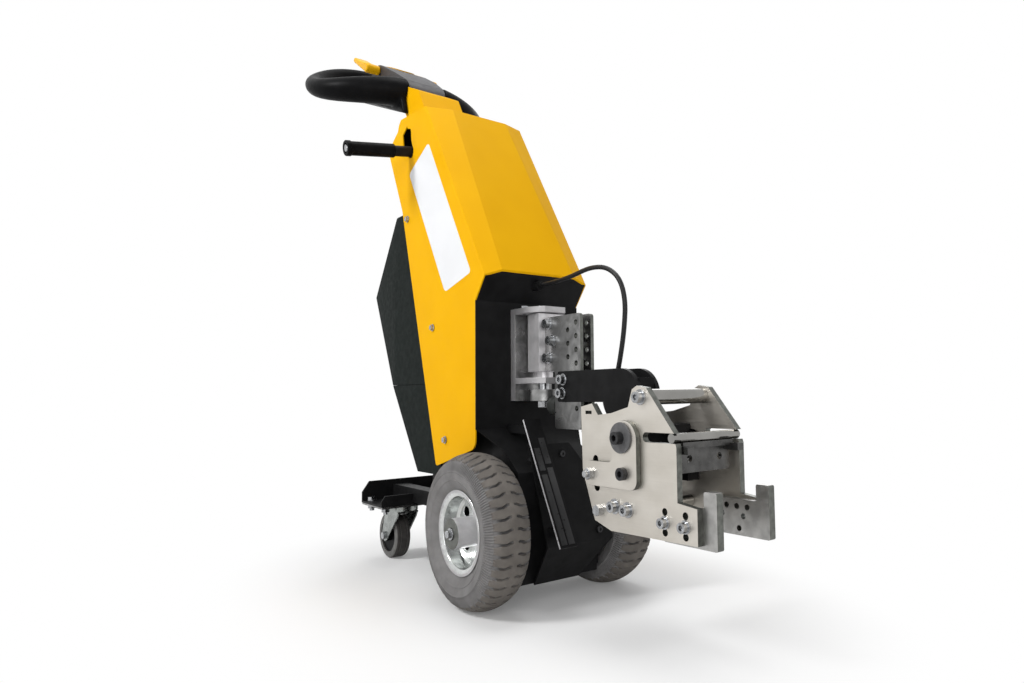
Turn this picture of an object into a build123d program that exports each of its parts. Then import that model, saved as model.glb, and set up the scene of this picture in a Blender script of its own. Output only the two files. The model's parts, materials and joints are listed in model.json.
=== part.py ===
from build123d import *
import math
import os

# Powered load mover, in millimetres. X runs across the machine, the hitch faces -Y, Z is up.
# The drive axle lies above the origin and the floor is Z = 0.

# Clearances
RUN_FIT = 0.05
BOLT_FIT = 0.15
FACE_GAP = 0.4
SHEET_ROOM = 0.2

# Fasteners: a cap is its radius, its height and its washer's radius
WASHER_SHEET = 2.0
SOCKET_SHARE = 0.55
SOCKET_FLOOR = 0.4
BODY_SCREW_RADIUS = 3.0
COWL_SCREW_CAP = (5.5, 4.0, 7.0)
COWL_SCREW_LENGTH = 12.0
GUARD_SCREW_CAP = (5.5, 3.5, 0.0)
SILL_SCREW_LENGTH = 8.0
FRAME_BOLT_RADIUS = 4.0
FOOT_BOLT_CAP = (6.5, 5.0, 8.0)
TOP_BOLT_CAP = (6.5, 5.0, 0.0)
AXLE_BOLT_RADIUS = 5.0
AXLE_BOLT_CAP = (7.0, 6.0, 10.0)
CASTOR_BOLT_CAP = (9.0, 6.5, 10.0)
CASTOR_NUT_HEIGHT = 8.0
CASTOR_AXLE_CAP = (8.5, 6.0, 0.0)
PIN_CAP = (13.0, 10.0, 16.0)
MAST_BOLT_CAP = (8.0, 9.0, 10.0)
MAST_NUT_CAP = (9.0, 9.0, 10.0)
SHAFT_SCREW_CAP = (9.0, 11.0, 0.0)
PIVOT_SCREW_CAP = (9.0, 8.0, 0.0)
STUD_NUT_CAP = (9.0, 8.0, 0.0)
STUD_PROUD = 13.0
HEAD_BOLT_CAP = (8.0, 9.0, 11.0)
HEAD_NUT_CAP = (8.5, 9.0, 0.0)
HOOK_BOLT_CAP = (7.0, 8.0, 9.0)
BOLT_BITE = 18.0

# Drive wheels
TYRE_RADIUS = 130.0
TYRE_WIDTH = 82.0
TYRE_SHOULDER = (7.0, 8.0)
TYRE_BULGE = 34.0
TRACK = 264.0
RIM_FLANGE_RADIUS = 70.5
RIM_SEAT_RADIUS = 62.0
RIM_WIDTH = 64.0
RIM_WALL = 3.0
RIM_LIP = 4.5
RIM_DISH = 6.0
RIM_DISH_STEP = 2.0
RIM_HOLE_COUNT = 4
RIM_HOLE_RADIUS = 9.5
HUB_RADIUS = 25.0
HUB_PROUD = 13.0
AXLE_RADIUS = 10.0
AXLE_REACH = 30.0

# Frame and drive
WHEEL_GAP = 9.0
FRAME_PLATE = 4.0
FRAME_FLOOR = 40.0
FRAME_REAR = 262.0
FRAME_SPLIT = 291.0
FRAME_TOP = 930.0
FRAME_BACK = ((352.0, 930.0), (385.0, 888.0), (330.0, 745.0), (380.0, 600.0), (380.0, 400.0),
              (310.5, 291.0))
FRAME_SETBACK = 14.0
CROSS_FRONT_TOP = 110.0
CROSS_REAR_TOP = 200.0
SHELF_PLATE = 4.0
SHELF_REAR = (290.0, 310.0)
SHELF_LEAD = 11.0
SEAT_PLATE = 10.0
SEAT_MARGIN = (12.0, 2.0)
COVER_SCREWS = ((325.0, 640.0), (300.0, 440.0), (225.0, 260.0))
FOOT_BOLT = (-38.0, 62.0)
RAIL_SIZE = 30.0
RAIL_X = 55.0
GEARBOX_HALF = 60.0
GEARBOX_REACH = 50.0
GEARBOX_RISE = 45.0
GEARBOX_CORNER = 16.0
AXLE_TUBE_RADIUS = 22.0
AXLE_END_ROOM = 2.0
MOTOR_RADIUS = 45.0
MOTOR_LENGTH = 150.0
MOTOR_CAP = (35.0, 25.0)
BATTERY = (150.0, 77.0, 167.0)
BATTERY_SPACE = 3.0
TERMINAL = (8.0, 10.0)
BATTERY_BASE = 300.0
BATTERY_Y = 118.0
CONTROLLER = (120.0, 110.0, 80.0)
CONTROLLER_BASE = 520.0
CONTROLLER_Y = 180.0
FIN_COUNT = 5
FIN = (4.0, 12.0)

# Cowl: a folded sheet with a front, two chamfers and two sides, leaning back
COWL_HALF = 112.0
COWL_SHEET = 2.5
COWL_FOOT = (2.0, 567.0)
COWL_HEAD = (236.0, 944.0)
COWL_REAR = (358.0, 953.0)
FRONT_HALF_FOOT = 80.0
FRONT_HALF_HEAD = 62.0
CHAMFER_FALL = 0.38
TONGUE_Y = 35.0
COWL_BACK = ((369.0, 944.0), (374.0, 931.0), (401.0, 915.0), (417.0, 886.0), (387.0, 827.0))
COWL_TAIL = (348.0, 749.0)
COWL_TOE = (187.0, 223.0)
TOE_CORNER = 6.0
SKIRT_ROOM = 8.0
SKIRT_CORNER = 20.0
BACK_LINE = ((338.0, 747.0), (378.0, 827.0), (405.0, 884.0), (392.0, 908.0), (366.0, 924.0), (357.0, 942.0))
NECK_ROOM = 3.0
FOOT_RISE = 2.0
COWL_SCREWS = ((320.0, 727.0), (201.0, 489.0), (148.0, 274.0))
STANDOFF_RADIUS = 7.0

# Front panel, guard and kick bar
PANEL_SHEET = 2.0
PANEL_KNEE_Z = 525.0
PANEL_SILL_Z = 297.0
LOWER_PANEL_Y = -60.0
LOWER_PANEL_TOP = 225.0
LOWER_PANEL_FOOT = 52.0
ARCH_ROOM = 2.0
ARCH_RISE = 35.0
SILL_SCREW = (45.0, 241.6)
GUARD_SHEET = 3.0
GUARD_HEAD = (-49.0, 270.0)
GUARD_FOLD = (-104.0, 105.0)
GUARD_FOOT = (-63.0, 38.0)
GUARD_LEFT = -56.0
GUARD_TOP_X = 22.0
GUARD_SIDE_Z = (190.0, 103.0)
GUARD_BASE_X = 30.0
GUARD_SCREWS = ((8.0, 252.0), (55.0, 121.0), (-44.0, 190.0))
GUARD_POST_RADIUS = 8.0
BAR_X = (-60.0, -25.0)
BAR_HEAD = (-39.0, 314.0)
BAR_FOOT = (-145.0, 111.0)
BAR_SHEET = 4.0
BAR_TAB = 16.0
BAR_TAB_Z = ((288.0, 302.0), (122.0, 136.0))
STRIP_SHEET = 1.0
STRIPS = ((0.02, 0.55, 4.0, 15.0), (0.02, 0.6, 18.0, 30.0), (0.58, 0.76, 4.0, 15.0),
          (0.63, 0.84, 18.0, 30.0))

# Rear cover and battery housing
COVER_SHEET = 2.0
COVER_HALF = 105.0
COVER_LAP = 8.0
COVER_FOOT = (283.0, 205.0)
HOUSING_TOP = (392.0, 745.0)
HOUSING_PEAK = (536.0, 586.0)
HOUSING_FOOT = (411.0, 380.0)
HOUSING_BEND_Y = 395.0
HOUSING_TAPER = 12.0
HOUSING_PROUD = 3.0
GRAB_RADIUS = 9.0
GRAB_HALF = 76.0
GRAB_LIFT = 14.0
GRAB_START = 24.0
GRAB_LENGTH = 88.0
GRAB_BEND = 28.0
GRAB_LEG_RADIUS = 7.0
GRAB_LEG_STEP = 40.0

# Castor tray and castors
TRAY_HALF = 140.0
TRAY_Y = (380.0, 490.0)
TRAY_SHEET = 4.0
TRAY_REAR_LIP = 45.0
TRAY_FRONT_LIP = 23.0
TRAY_LIP_SIDE = 0.5
TRAY_LIP_SLANT = 0.35
CASTOR_X = 71.0
CASTOR_RADIUS = 50.0
CASTOR_HEADROOM = 25.0
CASTOR_WIDTH = 32.0
CASTOR_TRAIL = 38.0
CASTOR_PLATE = (135.0, 110.0, 4.0)
CASTOR_BOLTS = (105.0, 75.0)
CASTOR_BOLT_RADIUS = 5.0
CASTOR_LEG = 3.0
CASTOR_SIDE_ROOM = 4.0
FORK_DEPTH = 17.0
FORK_BRIDGE = 4.0
FORK_REACH = (32.0, 34.0)
RACE_RADIUS = 34.0
KING_PIN_RADIUS = 8.0
KING_NUT = (12.0, 5.0)
CASTOR_AXLE_RADIUS = 5.0
CASTOR_CORE_RADIUS = 36.0
CASTOR_CORE_INSET = 3.0
CASTOR_HUB_RADIUS = 13.0
CASTOR_EDGE = 5.0
CASTOR_GROOVE = (0.45, 2.0, 1.5)

# Neck and tiller head
NECK_HALF = 50.0
NECK_WALL = 3.0
NECK_FOOT = (300.0, 872.0)
NECK_DEPTH = 90.0
NECK_FRONT = (405.0, 1052.0)
NECK_BACK = (478.0, 1087.0)
NECK_TAIL = (18.0, 36.0)
NECK_REAR_DROP = 14.0
NECK_HOLLOW_DROP = 10.0
NECK_HOLLOW_STEP = 8.0
CONSOLE_HALF = 58.0
CONSOLE_NOSE_HALF = 45.0
CONSOLE_TOP = ((460.0, 1070.0), (470.0, 1099.0), (537.0, 1143.0), (612.0, 1187.0), (650.0, 1194.0),
               (676.0, 1170.0))
CONSOLE_HEEL = (668.0, 1142.0)
CONSOLE_NOSE_LENGTH = 90.0
SHELL_HALF = 64.0
SHELL_BOTTOM = ((456.0, 1011.0), (632.0, 1089.0), (775.0, 1146.0))
SHELL_TAIL = (754.0, 1191.0)
LOOP_HALF = 201.0
LOOP_REACH = 155.5
LOOP_CENTRE = (645.5, 1157.5)
LOOP_RISE = 0.46
LOOP_DROOP = 54.0
LOOP_FRONT_RADIUS = 34.0
LOOP_REAR_RADIUS = 17.5
LOOP_FRONT_SAG = 9.0
LOOP_SECTIONS = 13
ROCKER_PIVOT = (616.0, 1171.0)
ROCKER_SHAFT_RADIUS = 5.0
PADDLE_WIDTH = 34.0
PADDLE_TIP = (696.0, 1221.0)
PADDLE_ROOT = (9.0, 10.0)
PADDLE_TIP_HALF = 4.5
PADDLE_DIP = (0.5, 5.0)
PADDLE_CORNER = 4.0
PADDLE_HUB_RADIUS = 10.0
BELLY_RADIUS = 20.0
BELLY_STEM_RADIUS = 15.0
BELLY_STEM = 20.0
BELLY_CAP = 10.0
BELLY_EDGE = 4.0
BELLY_TRAVEL = 8.0

# Side lever
LEVER_PIVOT = (250.0, 907.0)
LEVER_ROOT = (308.0, 869.0)
LEVER_DROP = 21.0
LEVER_TIP_X = -248.0
LEVER_RADIUS = 11.0
LEVER_GRIP_RADIUS = 14.0
LEVER_GRIP_LENGTH = 100.0
LEVER_CORE_RADIUS = 8.0
LEVER_CAP_RADIUS = 15.5
LEVER_CAP_LENGTH = 10.0
LEVER_TRAVEL = 34.0
CRANK_PLATE = 8.0
CRANK_X = -92.0
CRANK_EYE_RADIUS = 15.0
LEVER_PIN_RADIUS = 6.0
LEVER_PIN_HEAD = (9.0, 3.0)
LEVER_COLLAR_RADIUS = 10.0
SLOT_ROOM = 2.0
SLOT_DROP = ((326.0, 930.0), (349.0, 916.0), (345.0, 890.0), (326.0, 862.0), (300.0, 868.0))

# Hitch bracket, swivel and mast
SWIVEL_Y = -14.0
PIN_RADIUS = 10.0
BRACKET_HALF = 40.0
BRACKET_PLATE = 15.0
BRACKET_Z = (345.0, 512.0)
LUG_PLATE = 10.0
LUG_NOSE = (0.55, 38.0)
LUG_SHOULDER = 10.0
TOP_BOLT_DEPTH = 20.0
PIN_COLLAR = (14.0, 4.0)
SWIVEL_BOSS_RADIUS = 17.0
TOP_BOLTS = ((-27.0, 6.0), (0.0, 12.0), (27.0, 6.0))
LOWER_LUG_TOP = 386.0
FOOT_BLOCK_TOP = 365.0
FOOT_BLOCK_RADIUS = 31.0
BLOCK_HALF = 28.0
BLOCK_Z = (397.0, 500.0)
BLOCK_FRONT = -41.0
TONGUE_HALF = 8.0
TONGUE_FRONT = -80.0
MAST_PLATE = 6.5
MAST_FRONT = -143.0
MAST_STEP_Y = -69.0
MAST_Z = (297.0, 492.0)
MAST_BOLTS = ((-53.0, 480.0), (-63.0, 450.0), (-53.0, 420.0))
MAST_HOLE_RADIUS = 4.5
MAST_HOLE_STEP = 23.0
MAST_HOLE_INSET = (12.0, 15.0)
MAST_LOW_HOLE_Z = 332.0
MAST_CORNER = 6.0
MAST_SPACER = (30.0, 18.0)
BOLT_RADIUS = 5.0
ARM_PLATE = 8.0
ARM_REAR = -88.0
ARM_Z = (343.0, 395.0)
ARM_END = (-252.0, 352.0)
ARM_BOLTS = ((-106.0, 381.0), (-103.0, 358.0))
ARM_CORNER = 5.0
BUFFER_RADIUS = 18.0
BUFFER_Z = 336.0
BUFFER_EDGE = 3.0
BUFFER_SHANK = 28.0

# Coupling head
PITCH = (-320.0, 244.0)
HEAD_OUTER = 68.0
HEAD_PLATE = 10.0
HEAD_REAR = ((-281.0, 159.0), (-244.0, 170.0), (-216.0, 241.0), (-213.0, 337.0), (-240.0, 342.0))
HEAD_TOP = ((-254.0, 325.0), (-285.0, 328.0), (-322.0, 337.0), (-331.0, 362.0), (-341.0, 367.0),
            (-360.0, 364.0))
HEAD_MOUTH_Y = (-413.0, -417.0)
HEAD_MOUTH_DROP = 12.0
HEAD_FOOT = ((-417.0, 213.0), (-452.0, 209.0), (-452.0, 162.0))
HEAD_NOTCH = (-239.0, -224.0, 326.0, 331.0)
LINK_PLATE = 8.0
SHAFT_POINT = (-316.0, 294.0)
STUD_POINT = (-246.0, 239.0)
LINK_SCREW_RADIUS = 6.0
LINK_STUD_RADIUS = 5.0
LINK_WASHER = 3.0
LINK_WASHER_RADIUS = 22.0
LINK_LOBE = (22.0, 31.0, 24.0)
LINK_BASE = (15.0, 22.0, 19.0)
LINK_CORNERS = (20.0, 26.0, 14.0, 10.0, 10.0, 8.0)
STUD_SLOT_SWEEP = 32.0
SHAFT_SLOT_SWEEP = 56.0
CHEEK_INNER = 34.0
CARRIER_Y = (-338.0, -200.0)
CARRIER_STEP = (16.0, 35.0)
CARRIER_NECK = (48.0, 112.0)
CARRIER_NECK_DROP = 15.0
CHEEK_Z = (226.0, 297.0)
TOP_TUBE = (-349.0, 351.0)
TOP_TUBE_RADIUS = 11.0
LOWER_BARS = ((-257.0, 186.0), (-291.0, 195.0), (-319.0, 193.0))
LOWER_BAR_RADIUS = 9.0
HOOK_PLATE = 12.0
HOOK_TIP = (-476.0, 230.0)
HOOK_PRONG = 22.0
HOOK_CORNER = 3.0
HOOK_SPARE_LIFT = (-13.0, 14.0)
HOOK_BASE = (-380.0, 157.0)
HOOK_LEDGE = 207.0
HOOK_BOLTS = ((-393.0, 185.0), (-431.0, 184.0))
HOOK_BOLT_RADIUS = 4.0
HOOK_HOLES = ((-401.0, 197.0), (-419.5, 197.0), (-438.0, 197.0), (-423.0, 167.0))
LATCH_BAR = (-406.0, 296.0)
LATCH_BAR_RADIUS = 6.5
LATCH_SLOT_ROOM = 0.25
LATCH_SLOT_REAR = -352.0
LATCH_PLATE = 8.0
LATCH_Y = (-412.0, -386.0)
LATCH_FLANGE = (-404.0, -398.0)
LATCH_SIDE_ROOM = 8.0
LATCH_PRONG = (6.0, 14.0, 12.0)
LATCH_PRONG_Z = (15.0, 5.0)
LATCH_HOLE_RADIUS = 5.0
LATCH_HOLE_RISE = 9.0
LATCH_TAIL = 10.0
LATCH_BAR_INSET = 2.0
ACTUATOR_Z = 258.0
ACTUATOR_RADIUS = 16.0
ACTUATOR_Y = (-350.0, -240.0)
ACTUATOR_END = 14.0
SADDLE_HALF = 14.0
SADDLE_MARGIN = 4.0
ROD_RADIUS = 6.0
ROD_DEPTH = 32.0

# Cable from the panel to the coupling head
CABLE_RADIUS = 4.0
CABLE_ROUTE = ((-14.0, 556.0), (-52.0, 556.0), (-104.0, 560.0), (-152.0, 568.0), (-197.0, 563.0),
               (-230.0, 540.0), (-243.0, 503.0), (-239.0, 459.0), (-229.0, 415.0), (-216.0, 374.0),
               (-216.0, 332.0))
GLAND_RADIUS = 8.5
GLAND_NOSE = (6.0, 8.0)
GLAND_REAR = 24.0

HALF_TRACK = TRACK / 2
RIM_HALF = RIM_WIDTH / 2
FRAME_HALF = HALF_TRACK - TYRE_WIDTH / 2 - WHEEL_GAP
COWL_INNER = COWL_HALF - COWL_SHEET
LEAN = (COWL_HEAD[0] - COWL_FOOT[0]) / (COWL_HEAD[1] - COWL_FOOT[1])
TOP_RISE = (COWL_REAR[1] - COWL_HEAD[1]) / (COWL_REAR[0] - COWL_HEAD[0])
MAST_OUTER = TONGUE_HALF + MAST_PLATE
ARM_OUTER = MAST_OUTER + ARM_PLATE
HEAD_INNER = HEAD_OUTER - HEAD_PLATE
LINK_INNER = HEAD_OUTER + FACE_GAP
LINK_OUTER = LINK_INNER + LINK_PLATE
CARRIER_HALF = HEAD_INNER - FACE_GAP
PANEL_Y = TONGUE_Y - PANEL_SHEET
TRAY_MID = (TRAY_Y[0] + TRAY_Y[1]) / 2
CASTOR_HEIGHT = 2 * CASTOR_RADIUS + CASTOR_HEADROOM
LATCH_HALF = HEAD_INNER - LATCH_SIDE_ROOM
WIDE = 600.0
HIGH = 1400.0


# Basic solids
def plate_x(points, x0, x1):
    face = make_face(Polyline(*[(x0, y, z) for y, z in points], close=True))
    return extrude(face, amount=x1 - x0, dir=(1, 0, 0))


def plate_y(points, y0, y1):
    face = make_face(Polyline(*[(x, y0, z) for x, z in points], close=True))
    return extrude(face, amount=y1 - y0, dir=(0, 1, 0))


def plate_z(points, z0, z1):
    face = make_face(Polyline(*[(x, y, z0) for x, y in points], close=True))
    return extrude(face, amount=z1 - z0, dir=(0, 0, 1))


def block(x0, x1, y0, y1, z0, z1):
    centre = Pos((x0 + x1) / 2, (y0 + y1) / 2, (z0 + z1) / 2)
    return centre * Box(abs(x1 - x0), abs(y1 - y0), abs(z1 - z0))


def rod_x(y, z, radius, x0, x1):
    return Pos((x0 + x1) / 2, y, z) * Rot(0, 90, 0) * Cylinder(radius, abs(x1 - x0))


def rod_y(x, z, radius, y0, y1):
    return Pos(x, (y0 + y1) / 2, z) * Rot(90, 0, 0) * Cylinder(radius, abs(y1 - y0))


def rod_z(x, y, radius, z0, z1):
    return Pos(x, y, (z0 + z1) / 2) * Cylinder(radius, abs(z1 - z0))


def rounded_plate_x(points, radius, x0, x1):
    line = FilletPolyline(*[(x0, y, z) for y, z in points], radius=radius, close=True)
    return extrude(make_face(line), amount=x1 - x0, dir=(1, 0, 0))


def offset_line(points, distance):
    """The line moved sideways by a distance, to the right of its direction, with mitred corners."""
    normals = []
    for (y0, z0), (y1, z1) in zip(points, points[1:]):
        length = math.hypot(y1 - y0, z1 - z0)
        normals.append(((z1 - z0) / length, (y0 - y1) / length))
    befores = [normals[0]] + normals
    afters = normals + [normals[-1]]
    moved = []
    for (y, z), (ay, az), (by, bz) in zip(points, befores, afters):
        share = distance / (1 + ay * by + az * bz)
        moved.append((y + share * (ay + by), z + share * (az + bz)))
    return moved


def sheet_x(points, thickness, x0, x1):
    """A bent sheet: the given line thickened to the right of its direction."""
    return plate_x(list(points) + offset_line(points, thickness)[::-1], x0, x1)


def fastener(point, direction, radius, length, cap, hexagon=False):
    """A bolt whose seat is the given point: its head stands along direction, its shank goes back."""
    head_radius, head_height, washer = cap
    base = WASHER_SHEET if washer else 0.0
    solid = Pos(0, 0, -length / 2) * Cylinder(radius, length)
    if washer:
        solid += Pos(0, 0, base / 2) * Cylinder(washer, base)
    if hexagon:
        solid += Pos(0, 0, base) * extrude(RegularPolygon(head_radius, 6), amount=head_height)
    else:
        solid += Pos(0, 0, base + head_height / 2) * Cylinder(head_radius, head_height)
        socket = extrude(RegularPolygon(head_radius * SOCKET_SHARE, 6), amount=head_height)
        solid -= Pos(0, 0, base + head_height * SOCKET_FLOOR) * socket
    return Plane(origin=point, z_dir=direction) * solid


def round_corner(plate, point, radius):
    """Rounds the plate's edge along X that lies nearest to a point (y, z)."""
    edges = plate.edges().filter_by(Axis.X)
    corner = min(edges, key=lambda edge: math.hypot(edge.center().Y - point[0], edge.center().Z - point[1]))
    return fillet(corner, radius)


def fuse(solids):
    whole = solids[0]
    for solid in solids[1:]:
        whole += solid
    return whole


def both_sides(solid):
    return [solid, mirror(solid, about=Plane.YZ)]


def group(solids):
    return Compound(children=list(solids))


def save(name, shape):
    export_step(shape, "parts/" + name + ".step")


# Drive wheels, made on the right side and mirrored
def tyre():
    bead = RIM_HALF - RIM_WALL
    half = TYRE_WIDTH / 2
    bulge = TYRE_RADIUS - TYRE_BULGE
    side, crown = half - TYRE_SHOULDER[0], TYRE_RADIUS - TYRE_SHOULDER[1]
    edges = [
        Line((-bead, RIM_SEAT_RADIUS), (bead, RIM_SEAT_RADIUS)),
        Line((bead, RIM_SEAT_RADIUS), (bead, RIM_FLANGE_RADIUS)),
        ThreePointArc((bead, RIM_FLANGE_RADIUS), (half, bulge), (side, crown)),
        ThreePointArc((side, crown), (0, TYRE_RADIUS), (-side, crown)),
        ThreePointArc((-side, crown), (-half, bulge), (-bead, RIM_FLANGE_RADIUS)),
        Line((-bead, RIM_FLANGE_RADIUS), (-bead, RIM_SEAT_RADIUS)),
    ]
    return Pos(HALF_TRACK, 0, TYRE_RADIUS) * revolve(make_face(edges), Axis.X)


def rim():
    half = RIM_HALF
    seat, flange = RIM_SEAT_RADIUS, RIM_FLANGE_RADIUS
    barrel = seat - RIM_WALL
    web = barrel - RIM_DISH
    side = [(half - RIM_WALL, seat), (half - RIM_WALL, flange), (half, flange), (half, flange - RIM_LIP),
            (half - RIM_WALL, barrel), (2 * RIM_WALL, barrel - RIM_DISH_STEP), (RIM_WALL / 2, web),
            (RIM_WALL / 2, AXLE_RADIUS)]
    other = [(-x, radius) for x, radius in side[::-1]]
    solid = revolve(make_face(Polyline(*side, *other, close=True)), Axis.X)
    solid += rod_x(0, 0, HUB_RADIUS, -RIM_HALF / 2, RIM_HALF + HUB_PROUD)
    pitch = (HUB_RADIUS + web) / 2
    for index in range(RIM_HOLE_COUNT):
        turn = (index + 0.5) * 2 * math.pi / RIM_HOLE_COUNT
        solid -= rod_x(pitch * math.cos(turn), pitch * math.sin(turn), RIM_HOLE_RADIUS, -half, half)
    solid -= rod_x(0, 0, AXLE_RADIUS, -WIDE, WIDE)
    return Pos(HALF_TRACK, 0, TYRE_RADIUS) * solid


def axle_shaft():
    face = HALF_TRACK + RIM_HALF + HUB_PROUD
    shaft = rod_x(0, TYRE_RADIUS, AXLE_RADIUS, AXLE_REACH, face)
    seat = (face, 0, TYRE_RADIUS)
    return shaft + fastener(seat, (1, 0, 0), AXLE_BOLT_RADIUS, AXLE_BOLT_RADIUS, AXLE_BOLT_CAP, True)


# Frame
def cover_front_y(z):
    """Front edge of the rear cover, a lap inside the rear edge of the cowl's side."""
    slope = (COWL_TAIL[0] - COWL_TOE[0]) / (COWL_TAIL[1] - COWL_TOE[1])
    return COWL_TAIL[0] + slope * (z - COWL_TAIL[1]) - COVER_LAP


def bend_y(z):
    """Front edge of the cowl's side."""
    return COWL_FOOT[0] + LEAN * (z - COWL_FOOT[1])


def tyre_top(y):
    return TYRE_RADIUS + math.sqrt(TYRE_RADIUS ** 2 - y ** 2)


def rails():
    base = CASTOR_HEIGHT + TRAY_SHEET
    rear = TRAY_Y[1] - TRAY_SHEET
    half = RAIL_SIZE / 2
    return both_sides(block(RAIL_X - half, RAIL_X + half, FRAME_REAR, rear, base, base + RAIL_SIZE))


def standoffs(low, high):
    """Posts between the frame's sides and the sheets around them, for the screws between two heights."""
    solids = []
    for points, face in ((COWL_SCREWS, COWL_INNER), (COVER_SCREWS, COVER_HALF - COVER_SHEET)):
        for y, z in points:
            if low <= z < high:
                solids += both_sides(rod_x(y, z, STANDOFF_RADIUS, FRAME_HALF, face))
    return solids


def without_screws(solid):
    for y, z in COWL_SCREWS:
        solid -= rod_x(y, z, BODY_SCREW_RADIUS + BOLT_FIT, -WIDE, WIDE)
    return solid


def lever_pin():
    y, z = LEVER_PIVOT
    outer = CRANK_X - CRANK_PLATE - FACE_GAP
    head_radius, head = LEVER_PIN_HEAD
    pin = rod_x(y, z, LEVER_PIN_RADIUS, outer, FRAME_PLATE - FRAME_HALF)
    collar = rod_x(y, z, LEVER_COLLAR_RADIUS, CRANK_X + FACE_GAP, -FRAME_HALF)
    return pin + collar + rod_x(y, z, head_radius, outer - head, outer)


def base_frame():
    """The box of plates that carries the drive, with its posts."""
    inner = FRAME_HALF - FRAME_PLATE
    front = LOWER_PANEL_Y + PANEL_SHEET
    low, high = FRAME_FLOOR, FRAME_SPLIT
    outline = [(front, low), (front, LOWER_PANEL_TOP - FRAME_PLATE), (TONGUE_Y, high), (FRAME_REAR, high),
               (FRAME_REAR, low)]
    side = plate_x(outline, inner, FRAME_HALF) - rod_x(0, TYRE_RADIUS, AXLE_TUBE_RADIUS, 0, WIDE)
    side -= rod_x(FOOT_BOLT[0], FOOT_BOLT[1], FRAME_BOLT_RADIUS + BOLT_FIT, 0, WIDE)
    floor = block(-inner, inner, front + FRAME_PLATE, FRAME_REAR - FRAME_PLATE, low, low + FRAME_PLATE)
    rear = block(-inner, inner, FRAME_REAR - FRAME_PLATE, FRAME_REAR, low, CROSS_REAR_TOP)
    cross = block(-inner, inner, front, front + FRAME_PLATE, low, CROSS_FRONT_TOP)
    solids = both_sides(side) + standoffs(0, high)
    return group([without_screws(solid) for solid in solids] + [floor, rear, cross])


def upright_frame():
    """The two uprights, tied by the battery shelf, the controller shelf and the neck's seat."""
    inner = FRAME_HALF - FRAME_PLATE
    knee = COWL_FOOT[1] + (TONGUE_Y - FRAME_SETBACK - COWL_FOOT[0]) / LEAN
    outline = [(TONGUE_Y, FRAME_SPLIT), (TONGUE_Y, knee), (bend_y(FRAME_TOP) + FRAME_SETBACK, FRAME_TOP)]
    parts = both_sides(plate_x(outline + list(FRAME_BACK), inner, FRAME_HALF))
    shelves = ((BATTERY_Y, BATTERY_BASE), (CONTROLLER_Y, CONTROLLER_BASE))
    for (front, top), rear in zip(shelves, SHELF_REAR):
        parts.append(block(-inner, inner, front - SHELF_LEAD, rear, top - SHELF_PLATE, top))
    seat_y, seat_z = NECK_FOOT
    front, rear = seat_y - SEAT_MARGIN[0], seat_y + NECK_DEPTH + SEAT_MARGIN[1]
    parts.append(block(-inner, inner, front, rear, seat_z - SEAT_PLATE, seat_z))
    return without_screws(fuse(parts + standoffs(FRAME_SPLIT, HIGH) + [lever_pin()]))


def back_panel():
    """Closes the rear of the cowl between the battery housing and the neck."""
    solid = sheet_x(BACK_LINE, -COVER_SHEET, -COWL_INNER, COWL_INNER)
    room = NECK_HALF + NECK_ROOM
    return solid - block(-room, room, 0, WIDE, NECK_FOOT[1] + 2 * NECK_ROOM, HIGH)


def transaxle():
    low, high = TYRE_RADIUS - GEARBOX_RISE, TYRE_RADIUS + GEARBOX_RISE
    box = block(-GEARBOX_HALF, GEARBOX_HALF, -GEARBOX_REACH, GEARBOX_REACH, low, high)
    box = fillet(box.edges().filter_by(Axis.X), GEARBOX_CORNER)
    solid = box + rod_x(0, TYRE_RADIUS, AXLE_TUBE_RADIUS, -FRAME_HALF, FRAME_HALF)
    start = AXLE_REACH - AXLE_END_ROOM
    for side in (-1, 1):
        solid -= rod_x(0, TYRE_RADIUS, AXLE_RADIUS + RUN_FIT, side * start, side * WIDE)
    return solid


def drive_motor():
    cap_radius, cap_length = MOTOR_CAP
    end = GEARBOX_REACH + MOTOR_LENGTH
    body = rod_y(0, TYRE_RADIUS, MOTOR_RADIUS, GEARBOX_REACH, end)
    return body + rod_y(0, TYRE_RADIUS, cap_radius, end, end + cap_length)


def batteries():
    width, depth, height = BATTERY
    radius, rise = TERMINAL
    top = BATTERY_BASE + height
    solids = []
    for index in range(2):
        front = BATTERY_Y + index * (depth + BATTERY_SPACE)
        case = block(-width / 2, width / 2, front, front + depth, BATTERY_BASE, top)
        for side in (-1, 1):
            case += rod_z(side * width / 3, front + depth / 2, radius, top, top + rise)
        solids.append(case)
    return group(solids)


def controller():
    width, depth, height = CONTROLLER
    fin, rise = FIN
    top = CONTROLLER_BASE + height
    solid = block(-width / 2, width / 2, CONTROLLER_Y, CONTROLLER_Y + depth, CONTROLLER_BASE, top)
    for index in range(FIN_COUNT):
        y = CONTROLLER_Y + (index + 0.5) * depth / FIN_COUNT
        solid += block(-width / 2, width / 2, y, y + fin, top, top + rise)
    return solid


# Cowl
def cowl_section(z, inset, rear):
    half = COWL_HALF - inset
    share = (z - COWL_FOOT[1]) / (COWL_HEAD[1] - COWL_FOOT[1])
    front_half = FRONT_HALF_FOOT + (FRONT_HALF_HEAD - FRONT_HALF_FOOT) * share - inset / 3
    side_y = bend_y(z) + inset * math.hypot(1, LEAN)
    front_y = side_y - CHAMFER_FALL * (half - front_half)
    points = [(-half, rear), (-half, side_y), (-front_half, front_y),
              (front_half, front_y), (half, side_y), (half, rear)]
    return make_face(Polyline(*[(x, y, z) for x, y in points], close=True))


def cowl_body(inset, rear):
    reach = 2 * TONGUE_Y
    sections = [cowl_section(z, inset, rear) for z in (COWL_FOOT[1] - reach, COWL_HEAD[1] + reach)]
    return loft(sections, ruled=True)


def cowl_top_z(y):
    return COWL_HEAD[1] + TOP_RISE * (y - COWL_HEAD[0])


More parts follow.
